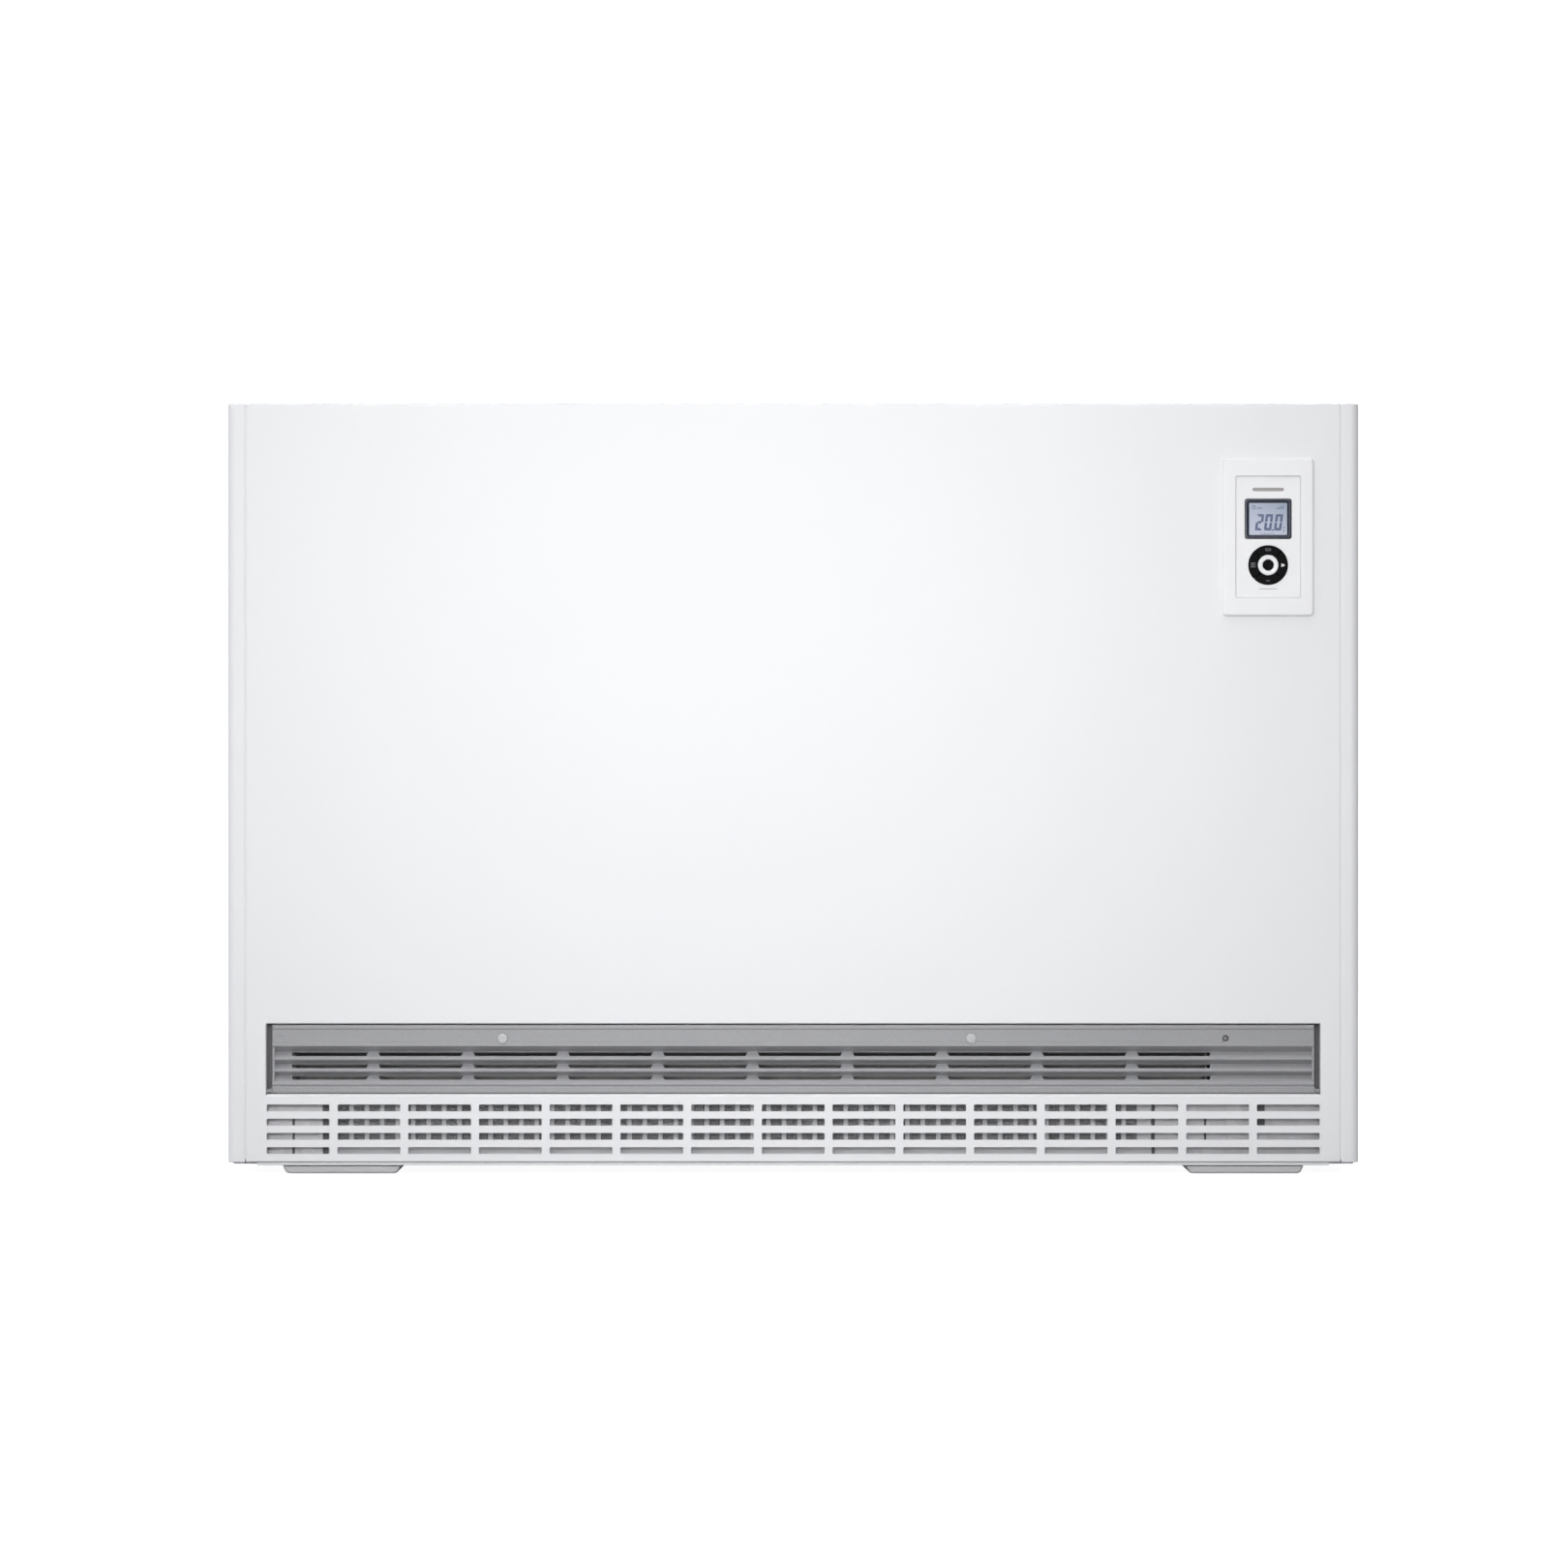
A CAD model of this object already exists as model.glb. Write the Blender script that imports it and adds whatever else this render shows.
import math
import bpy
import bmesh
from mathutils import Matrix, Vector
from mathutils.geometry import delaunay_2d_cdt, tessellate_polygon


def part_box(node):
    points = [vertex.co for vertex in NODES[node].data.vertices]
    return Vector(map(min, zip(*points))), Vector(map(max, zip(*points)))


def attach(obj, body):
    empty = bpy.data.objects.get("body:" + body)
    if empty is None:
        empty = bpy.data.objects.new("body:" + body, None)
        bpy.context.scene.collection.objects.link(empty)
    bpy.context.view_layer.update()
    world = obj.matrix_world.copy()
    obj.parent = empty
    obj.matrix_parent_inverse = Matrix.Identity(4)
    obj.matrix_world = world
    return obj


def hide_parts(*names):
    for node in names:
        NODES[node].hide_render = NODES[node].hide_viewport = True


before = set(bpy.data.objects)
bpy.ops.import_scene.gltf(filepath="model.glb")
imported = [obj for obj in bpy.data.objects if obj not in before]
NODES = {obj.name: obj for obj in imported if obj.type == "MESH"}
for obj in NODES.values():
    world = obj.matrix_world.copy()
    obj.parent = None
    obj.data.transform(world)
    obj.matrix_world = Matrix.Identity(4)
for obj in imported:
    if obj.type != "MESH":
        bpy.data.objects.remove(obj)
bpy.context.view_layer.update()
MM = 0.001
DEG = math.pi / 180


# ------------------------------------------------------------------ node graphs
class Graph:
    """A small builder for procedural materials. Texture space is the row frame, in metres."""

    def __init__(self, name):
        self.mat = bpy.data.materials.new(name)
        self.mat.use_nodes = True
        self.nt = self.mat.node_tree
        self.nt.nodes.clear()
        self.out = self.node("ShaderNodeOutputMaterial")
        self.bsdf = self.node("ShaderNodeBsdfPrincipled")
        self.nt.links.new(self.bsdf.outputs[0], self.out.inputs[0])
        self.coord = self.node("ShaderNodeTexCoord").outputs["Object"]

    def node(self, kind, **props):
        n = self.nt.nodes.new(kind)
        for k, v in props.items():
            setattr(n, k, v)
        return n

    def put(self, socket, value):
        if isinstance(value, bpy.types.NodeSocket):
            self.nt.links.new(value, socket)
        elif isinstance(value, (tuple, list)) and len(value) == 3 and socket.type == "RGBA":
            socket.default_value = (*value, 1.0)
        else:
            socket.default_value = value

    def set(self, **values):
        for k, v in values.items():
            self.put(self.bsdf.inputs[k.replace("_", " ")], v)
        return self

    def stretch(self, scale=(1, 1, 1), turn=(0, 0, 0), vec=None):
        n = self.node("ShaderNodeMapping")
        self.put(n.inputs["Vector"], vec or self.coord)
        n.inputs["Scale"].default_value = scale
        n.inputs["Rotation"].default_value = turn
        return n.outputs[0]

    def noise(self, scale, detail=3.0, rough=0.55, distortion=0.0, vec=None):
        n = self.node("ShaderNodeTexNoise")
        self.put(n.inputs["Vector"], vec or self.coord)
        n.inputs["Scale"].default_value = scale
        n.inputs["Detail"].default_value = detail
        n.inputs["Roughness"].default_value = rough
        n.inputs["Distortion"].default_value = distortion
        return n.outputs["Fac"]

    def cells(self, scale, feature="F1", output="Color", vec=None, randomness=1.0):
        n = self.node("ShaderNodeTexVoronoi", feature=feature)
        self.put(n.inputs["Vector"], vec or self.coord)
        n.inputs["Scale"].default_value = scale
        n.inputs["Randomness"].default_value = randomness
        return n.outputs[output]

    def wave(self, scale, direction="X", distortion=0.0, detail=2.0, vec=None, profile="SIN"):
        n = self.node("ShaderNodeTexWave", bands_direction=direction, wave_profile=profile)
        self.put(n.inputs["Vector"], vec or self.coord)
        n.inputs["Scale"].default_value = scale
        n.inputs["Distortion"].default_value = distortion
        n.inputs["Detail"].default_value = detail
        return n.outputs["Fac"]

    def bricks(self, scale, vec=None, mortar=0.02, width=0.5, height=0.25):
        n = self.node("ShaderNodeTexBrick")
        self.put(n.inputs["Vector"], vec or self.coord)
        n.inputs["Scale"].default_value = scale
        n.inputs["Mortar Size"].default_value = mortar
        n.inputs["Brick Width"].default_value = width
        n.inputs["Row Height"].default_value = height
        return n.outputs["Fac"]

    def axis(self, which, vec=None):
        n = self.node("ShaderNodeSeparateXYZ")
        self.put(n.inputs[0], vec or self.coord)
        return n.outputs[which]

    def ramp(self, fac, stops, interpolation="LINEAR"):
        n = self.node("ShaderNodeValToRGB")
        self.put(n.inputs[0], fac)
        ramp = n.color_ramp
        ramp.interpolation = interpolation
        while len(ramp.elements) < len(stops):
            ramp.elements.new(0.5)
        for e, (at, value) in zip(ramp.elements, stops):
            e.position = at
            e.color = (*value, 1.0) if isinstance(value, (tuple, list)) else (value, value, value, 1.0)
        return n.outputs[0]

    def range(self, fac, a, b, c, d):
        n = self.node("ShaderNodeMapRange")
        for i, v in enumerate((fac, a, b, c, d)):
            self.put(n.inputs[i], v)
        return n.outputs[0]

    def math(self, op, a, b=0.0):
        n = self.node("ShaderNodeMath", operation=op)
        self.put(n.inputs[0], a)
        self.put(n.inputs[1], b)
        return n.outputs[0]

    def mix(self, fac, a, b, blend="MIX"):
        n = self.node("ShaderNodeMix", data_type="RGBA", blend_type=blend)
        self.put(n.inputs[0], fac)
        self.put(n.inputs[6], a)
        self.put(n.inputs[7], b)
        return n.outputs[2]

    def bump(self, height, strength, distance, normal=None):
        n = self.node("ShaderNodeBump")
        n.inputs["Strength"].default_value = strength
        n.inputs["Distance"].default_value = distance
        self.put(n.inputs["Height"], height)
        if normal:
            self.put(n.inputs["Normal"], normal)
        return n.outputs[0]


def white_powder_coat():
    g = Graph("white_powder_coat")
    cloud = g.noise(5.0, 2.0)
    pinch = g.noise(420.0, 2.0, 0.5)
    base = g.mix(cloud, (0.845, 0.853, 0.872), (0.868, 0.874, 0.890))
    fleck = g.ramp(g.noise(2600.0, 1.0), [(0.30, 0.965), (0.46, 1.0)])
    peel = g.bump(g.noise(900.0, 2.0, 0.45), 0.10, 0.00010)
    peel = g.bump(g.noise(150.0, 1.0, 0.4), 0.05, 0.0004, peel)
    g.set(Base_Color=g.mix(1.0, base, fleck, "MULTIPLY"), Roughness=g.range(pinch, 0.3, 0.7, 0.44, 0.54),
          Normal=peel, Specular_IOR_Level=0.42)
    return g.mat


def grey_foot():
    g = Graph("grey_foot")
    grain = g.noise(1400.0, 2.0)
    base = g.mix(g.noise(14.0, 3.0), (0.60, 0.602, 0.618), (0.645, 0.647, 0.66))
    scuff = g.ramp(g.noise(60.0, 5.0, 0.7, 0.4, g.stretch((1, 1, 0.2))), [(0.66, 0.0), (0.8, 0.25)])
    g.set(Base_Color=g.mix(scuff, base, (0.70, 0.70, 0.71)), Roughness=g.range(grain, 0.3, 0.7, 0.48, 0.62),
          Normal=g.bump(grain, 0.22, 0.00012))
    return g.mat


def silver_grey_coat():
    g = Graph("silver_grey_coat")
    flake = g.cells(2600.0)
    flake_grey = g.ramp(flake, [(0.0, 0.86), (0.55, 1.0), (1.0, 1.16)])
    base = g.mix(g.noise(22.0, 2.0), (0.334, 0.335, 0.350), (0.358, 0.359, 0.374))
    facing = g.axis(2, g.node("ShaderNodeTexCoord").outputs["Normal"])
    base = g.mix(1.0, base, g.ramp(g.range(facing, -1.0, 1.0, 0.0, 1.0), [(0.15, 0.86), (0.36, 0.92), (0.47, 1.0), (0.80, 1.10)]), "MULTIPLY")
    g.set(Base_Color=g.mix(1.0, base, flake_grey, "MULTIPLY"), Metallic=0.18,
          Roughness=g.range(g.noise(700.0, 2.0), 0.3, 0.7, 0.40, 0.54),
          Normal=g.bump(g.noise(1000.0, 2.0), 0.12, 0.0001))
    return g.mat


def white_plastic():
    g = Graph("white_plastic")
    grain = g.noise(2400.0, 2.0, 0.6)
    base = g.mix(g.noise(30.0, 2.0), (0.868, 0.872, 0.885), (0.888, 0.890, 0.902))
    g.set(Base_Color=base, Roughness=g.range(grain, 0.3, 0.7, 0.36, 0.46), Specular_IOR_Level=0.5,
          Normal=g.bump(grain, 0.10, 0.00006))
    return g.mat


def navy_plastic():
    g = Graph("navy_plastic")
    grain = g.noise(1800.0, 2.0)
    dust = g.ramp(g.noise(900.0, 4.0, 0.8), [(0.66, 0.0), (0.72, 0.5)])
    g.set(Base_Color=g.mix(dust, (0.020, 0.026, 0.045), (0.05, 0.056, 0.075)),
          Roughness=g.range(grain, 0.3, 0.7, 0.20, 0.32), Normal=g.bump(grain, 0.06, 0.00005))
    return g.mat


def lcd_glass():
    g = Graph("lcd_glass")
    z = g.range(g.axis(2), 0.539, 0.567, 0.0, 1.0)
    x = g.range(g.axis(0), 0.384, 0.417, 0.0, 1.0)
    field = g.mix(z, (0.50, 0.54, 0.64), (0.29, 0.34, 0.435))
    field = g.mix(g.math("MULTIPLY", g.math("SUBTRACT", 1.0, x), 0.45), field, (0.55, 0.575, 0.70))
    dots = g.math("MULTIPLY", g.wave(1200.0, "X"), g.wave(1200.0, "Z"))
    field = g.mix(g.math("MULTIPLY", dots, 0.10), field, (0.30, 0.38, 0.55))
    g.set(Base_Color=field, Roughness=g.range(g.noise(300.0, 2.0), 0.3, 0.7, 0.14, 0.20), Coat_Weight=0.5,
          Coat_Roughness=0.05, Emission_Color=field, Emission_Strength=0.10)
    return g.mat


def lcd_ink(name, tone):
    g = Graph(name)
    grain = g.noise(3000.0, 1.0)
    dark = tuple(c * 0.82 for c in tone)
    g.set(Base_Color=g.mix(grain, dark, tone), Roughness=g.range(grain, 0.3, 0.7, 0.28, 0.4), Coat_Weight=0.4)
    return g.mat


def black_plastic():
    g = Graph("black_plastic")
    grain = g.noise(2600.0, 2.0, 0.6)
    smear = g.noise(45.0, 4.0, 0.6, 0.6)
    g.set(Base_Color=g.mix(smear, (0.0045, 0.0045, 0.005), (0.008, 0.008, 0.009)),
          Roughness=g.range(smear, 0.3, 0.7, 0.34, 0.46), Specular_IOR_Level=0.03,
          Normal=g.bump(grain, 0.10, 0.00005))
    return g.mat


def print_ink(name, tone):
    g = Graph(name)
    grain = g.noise(1800.0, 3.0, 0.7)
    worn = g.ramp(grain, [(0.25, tuple(c * 0.78 for c in tone)), (0.5, tone)])
    g.set(Base_Color=worn, Roughness=g.range(grain, 0.3, 0.7, 0.45, 0.6))
    return g.mat


def grey_plastic():
    g = Graph("grey_plastic")
    grain = g.noise(1100.0, 3.0, 0.6)
    dust = g.ramp(g.noise(120.0, 4.0, 0.7), [(0.52, 0.0), (0.78, 0.35)])
    base = g.mix(g.noise(12.0, 2.0), (0.675, 0.675, 0.695), (0.725, 0.725, 0.745))
    g.set(Base_Color=g.mix(dust, base, (0.60, 0.59, 0.585)), Roughness=g.range(grain, 0.3, 0.7, 0.56, 0.70),
          Normal=g.bump(grain, 0.25, 0.00012))
    return g.mat


def filter_gauze():
    g = Graph("filter_gauze")
    weave = g.math("MULTIPLY", g.wave(2400.0, "X"), g.wave(2400.0, "Z"))
    g.set(Base_Color=g.mix(weave, (0.57, 0.572, 0.585), (0.69, 0.692, 0.705)), Roughness=0.62,
          Normal=g.bump(weave, 0.3, 0.0001))
    return g.mat


def zinc_sheet():
    g = Graph("zinc_sheet")
    shift = g.node("ShaderNodeVectorMath", operation="ADD")
    wobble = g.node("ShaderNodeTexNoise")
    wobble.inputs["Scale"].default_value = 90.0
    wobble.inputs["Detail"].default_value = 3.0
    g.put(wobble.inputs["Vector"], g.coord)
    scaled = g.node("ShaderNodeVectorMath", operation="SCALE")
    g.put(scaled.inputs[0], wobble.outputs["Color"])
    scaled.inputs["Scale"].default_value = 0.006
    g.put(shift.inputs[0], g.coord)
    g.put(shift.inputs[1], scaled.outputs[0])
    crystal = g.cells(125.0, vec=shift.outputs[0])
    tone = g.ramp(crystal, [(0.0, (0.49, 0.50, 0.51)), (0.5, (0.545, 0.555, 0.565)), (1.0, (0.61, 0.62, 0.625))])
    frost = g.noise(300.0, 4.0, 0.65, 0.6)
    tone = g.mix(g.range(frost, 0.3, 0.75, 0.0, 0.35), tone, (0.51, 0.52, 0.53))
    rough = g.math("ADD", g.range(crystal, 0.0, 1.0, 0.33, 0.45), g.range(frost, 0.3, 0.7, -0.04, 0.08))
    roll = g.noise(900.0, 2.0, 0.5, 0.0, g.stretch((0.06, 1, 1)))
    g.set(Base_Color=tone, Metallic=0.86, Roughness=rough, Normal=g.bump(roll, 0.08, 0.00008))
    return g.mat


def heated_zinc():
    """Zinc sheet in the warm air path: dull and darkened."""
    g = Graph("heated_zinc")
    bloom = g.noise(26.0, 5.0, 0.65, 0.4)
    grain = g.noise(700.0, 3.0)
    tone = g.ramp(bloom, [(0.25, (0.30, 0.295, 0.292)), (0.5, (0.39, 0.385, 0.38)), (0.8, (0.46, 0.45, 0.43))])
    g.set(Base_Color=tone, Metallic=0.35, Roughness=g.range(grain, 0.3, 0.7, 0.52, 0.70), Normal=g.bump(grain, 0.12, 0.0001))
    return g.mat


def dull_zinc():
    """Unlit, dusty zinc of the narrow flanges behind the openings."""
    g = Graph("dull_zinc")
    dust = g.noise(160.0, 4.0, 0.7)
    g.set(Base_Color=g.mix(dust, (0.13, 0.13, 0.137), (0.19, 0.19, 0.196)), Metallic=0.3,
          Roughness=g.range(dust, 0.3, 0.7, 0.5, 0.68), Normal=g.bump(dust, 0.1, 0.0001))
    return g.mat


def frame_sheet():
    """Zinc sheet with a painted front lip."""
    g = Graph("frame_sheet")
    painted = g.range(g.axis(1), -0.1186, -0.1190, 0.0, 1.0)
    crystal = g.cells(125.0)
    frost = g.noise(300.0, 4.0, 0.65, 0.6)
    tone = g.mix(g.range(frost, 0.3, 0.75, 0.0, 0.35), g.ramp(crystal, [(0.0, (0.455, 0.452, 0.472)), (1.0, (0.57, 0.567, 0.587))]), (0.475, 0.472, 0.49))
    g.set(Base_Color=g.mix(painted, tone, (0.73, 0.735, 0.75)), Metallic=g.math("MULTIPLY", g.math("SUBTRACT", 1.0, painted), 0.86),
          Roughness=g.range(frost, 0.3, 0.7, 0.36, 0.50), Normal=g.bump(g.noise(900.0, 2.0), 0.08, 0.00008))
    return g.mat


def steel():
    g = Graph("steel")
    brush = g.noise(1500.0, 3.0, 0.6, 0.0, g.stretch((0.05, 1, 1)))
    stain = g.noise(35.0, 5.0, 0.65, 0.4)
    base = g.mix(g.range(stain, 0.35, 0.7, 0.0, 1.0), (0.50, 0.50, 0.505), (0.38, 0.375, 0.37))
    g.set(Base_Color=base, Metallic=0.95, Roughness=g.range(brush, 0.3, 0.7, 0.26, 0.44),
          Normal=g.bump(brush, 0.10, 0.00008))
    return g.mat


def laminated_steel():
    g = Graph("motor_laminations")
    plates = g.wave(620.0, "X")
    stain = g.noise(60.0, 5.0, 0.65)
    base = g.mix(plates, (0.16, 0.165, 0.175), (0.42, 0.425, 0.43))
    g.set(Base_Color=g.mix(g.range(stain, 0.5, 0.75, 0.0, 0.5), base, (0.24, 0.16, 0.11)), Metallic=0.8,
          Roughness=g.range(stain, 0.3, 0.7, 0.34, 0.52), Normal=g.bump(plates, 0.5, 0.0002))
    return g.mat


def element_alloy():
    g = Graph("element_alloy")
    scale_ = g.noise(180.0, 5.0, 0.7)
    tint = g.ramp(g.noise(9.0, 3.0), [(0.25, (0.10, 0.085, 0.07)), (0.5, (0.20, 0.17, 0.13)), (0.8, (0.30, 0.27, 0.22))])
    g.set(Base_Color=g.mix(g.range(scale_, 0.5, 0.8, 0.0, 0.5), tint, (0.33, 0.33, 0.30)), Metallic=0.85,
          Roughness=g.range(scale_, 0.3, 0.7, 0.40, 0.62), Normal=g.bump(scale_, 0.15, 0.0001))
    return g.mat


def aluminium():
    g = Graph("aluminium")
    brush = g.noise(1300.0, 3.0, 0.6, 0.0, g.stretch((0.04, 1, 1)))
    g.set(Base_Color=g.mix(g.noise(40.0, 3.0), (0.62, 0.63, 0.645), (0.70, 0.71, 0.72)), Metallic=0.96,
          Roughness=g.range(brush, 0.3, 0.7, 0.24, 0.38), Normal=g.bump(brush, 0.12, 0.00006))
    return g.mat


def insulation_board():
    g = Graph("insulation_board")
    fibre = g.noise(520.0, 5.0, 0.75, 1.2, g.stretch((0.3, 1, 1), (0, 0.3, 0.2)))
    clump = g.noise(36.0, 4.0, 0.6)
    tone = g.ramp(fibre, [(0.25, (0.50, 0.475, 0.42)), (0.5, (0.70, 0.675, 0.61)), (0.8, (0.80, 0.785, 0.73))])
    g.set(Base_Color=g.mix(g.range(clump, 0.35, 0.7, 0.0, 0.35), tone, (0.62, 0.58, 0.50)), Roughness=0.95,
          Normal=g.bump(g.math("ADD", fibre, g.math("MULTIPLY", clump, 2.0)), 0.6, 0.0008), Sheen_Weight=0.15)
    return g.mat


def vermiculite_board():
    g = Graph("vermiculite_board")
    grain = g.cells(360.0)
    tone = g.ramp(grain, [(0.0, (0.26, 0.17, 0.09)), (0.35, (0.42, 0.31, 0.17)), (0.7, (0.55, 0.42, 0.25)), (1.0, (0.68, 0.58, 0.40))])
    pit = g.cells(360.0, output="Distance")
    g.set(Base_Color=tone, Roughness=g.range(grain, 0.0, 1.0, 0.6, 0.95), Normal=g.bump(pit, 0.7, 0.0006))
    return g.mat


def storage_brick():
    g = Graph("storage_brick")
    grain = g.cells(420.0)
    pore = g.ramp(g.noise(330.0, 5.0, 0.7), [(0.28, 0.0), (0.40, 1.0)])
    tone = g.ramp(grain, [(0.0, (0.030, 0.026, 0.025)), (0.6, (0.058, 0.048, 0.043)), (1.0, (0.12, 0.098, 0.085))])
    rust = g.range(g.noise(11.0, 5.0, 0.65), 0.45, 0.75, 0.0, 0.55)
    g.set(Base_Color=g.mix(rust, tone, (0.13, 0.065, 0.045)), Roughness=g.range(grain, 0.0, 1.0, 0.72, 0.95),
          Normal=g.bump(pore, 0.8, 0.0007))
    return g.mat


def bimetal():
    g = Graph("bimetal")
    brush = g.noise(1600.0, 3.0, 0.6, 0.0, g.stretch((0.05, 1, 1)))
    g.set(Base_Color=g.mix(g.noise(50.0, 3.0), (0.52, 0.42, 0.20), (0.60, 0.51, 0.29)), Metallic=0.95,
          Roughness=g.range(brush, 0.3, 0.7, 0.24, 0.40), Normal=g.bump(brush, 0.1, 0.00006))
    return g.mat


def circuit_board(name, across):
    g = Graph(name)
    vec = g.stretch((1, 1, 1), (0, 0, math.pi / 2) if across == "x" else (math.pi / 2, 0, 0))
    if across == "x":
        vec = g.stretch((1, 1, 1), (0, math.pi / 2, 0))
    lines = g.bricks(70.0, vec, 0.035, 0.42, 0.16)
    fine = g.bricks(170.0, vec, 0.05, 0.8, 0.22)
    pads = g.ramp(g.cells(260.0, output="Distance"), [(0.10, 1.0), (0.16, 0.0)])
    base = g.mix(g.math("MULTIPLY", lines, 0.6), (0.010, 0.115, 0.040), (0.035, 0.235, 0.085))
    base = g.mix(g.math("MULTIPLY", fine, 0.4), base, (0.045, 0.26, 0.10))
    base = g.mix(g.math("MULTIPLY", pads, 0.9), base, (0.62, 0.60, 0.56))
    g.set(Base_Color=base, Roughness=0.36, Metallic=g.math("MULTIPLY", pads, 0.7), Coat_Weight=0.25,
          Normal=g.bump(lines, 0.3, 0.0001))
    return g.mat


def beige_thermoset():
    g = Graph("beige_thermoset")
    grain = g.noise(900.0, 4.0, 0.7)
    g.set(Base_Color=g.mix(grain, (0.62, 0.58, 0.48), (0.74, 0.71, 0.61)), Roughness=g.range(grain, 0.3, 0.7, 0.36, 0.52),
          Normal=g.bump(grain, 0.12, 0.0001))
    return g.mat


def black_rubber():
    g = Graph("black_rubber")
    grain = g.noise(1200.0, 3.0)
    g.set(Base_Color=g.mix(g.noise(70.0, 4.0), (0.016, 0.016, 0.016), (0.035, 0.034, 0.033)),
          Roughness=g.range(grain, 0.3, 0.7, 0.62, 0.82), Normal=g.bump(grain, 0.25, 0.0001))
    return g.mat


def red_plastic():
    g = Graph("red_plastic")
    grain = g.noise(1600.0, 2.0)
    g.set(Base_Color=g.mix(g.noise(200.0, 2.0), (0.40, 0.018, 0.012), (0.50, 0.028, 0.018)),
          Roughness=g.range(grain, 0.3, 0.7, 0.28, 0.42), Normal=g.bump(grain, 0.1, 0.00006))
    return g.mat


def copper_winding():
    g = Graph("copper_winding")
    strand = g.wave(900.0, "Y", 1.5)
    g.set(Base_Color=g.mix(strand, (0.30, 0.10, 0.045), (0.62, 0.27, 0.13)), Metallic=0.85, Roughness=0.34,
          Normal=g.bump(strand, 0.5, 0.0002))
    return g.mat


MATERIAL = {
    "white_powder_coat": white_powder_coat(), "grey_foot": grey_foot(), "silver_grey_coat": silver_grey_coat(),
    "white_plastic": white_plastic(), "navy_plastic": navy_plastic(), "display": lcd_glass(),
    "black_plastic": black_plastic(), "grey_plastic": grey_plastic(), "zinc_sheet": zinc_sheet(),
    "steel": steel(), "aluminium": aluminium(), "insulation_board": insulation_board(),
    "vermiculite_board": vermiculite_board(), "storage_brick": storage_brick(), "bimetal": bimetal(),
    "circuit_board": circuit_board("circuit_board", "y"), "beige_thermoset": beige_thermoset(),
    "black_rubber": black_rubber(), "red_plastic": red_plastic(),
}
LAMINATIONS, ALLOY, COPPER = laminated_steel(), element_alloy(), copper_winding()
HEATED, FRAME_SHEET = heated_zinc(), frame_sheet()
DULL = dull_zinc()
BOARD_X = circuit_board("circuit_board_upright", "x")
GAUZE = filter_gauze()
def plated_latch():
    g = Graph("plated_latch")
    turn = g.noise(1500.0, 3.0, 0.6)
    g.set(Base_Color=g.mix(turn, (0.44, 0.445, 0.455), (0.52, 0.525, 0.535)), Metallic=0.25,
          Roughness=g.range(turn, 0.3, 0.7, 0.34, 0.46), Normal=g.bump(turn, 0.12, 0.00006))
    return g.mat


PLATED = plated_latch()
INK_DARK, INK_SOFT = lcd_ink("lcd_ink", (0.075, 0.115, 0.235)), lcd_ink("lcd_ink_soft", (0.16, 0.22, 0.36))
PRINT_GREY, PRINT_WHITE = print_ink("print_grey", (0.22, 0.22, 0.23)), print_ink("print_white", (0.78, 0.78, 0.79))
PRINT_PALE = print_ink("print_pale", (0.36, 0.335, 0.325))


# ------------------------------------------------------------------ mesh helpers (millimetres)
def inside(loop, u, v):
    """Is a point in a 2-D loop?"""
    hit = False
    for (a, b), (c, d) in zip(loop, loop[1:] + loop[:1]):
        if (b > v) != (d > v) and u < a + (v - b) * (c - a) / (d - b):
            hit = not hit
    return hit


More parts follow.
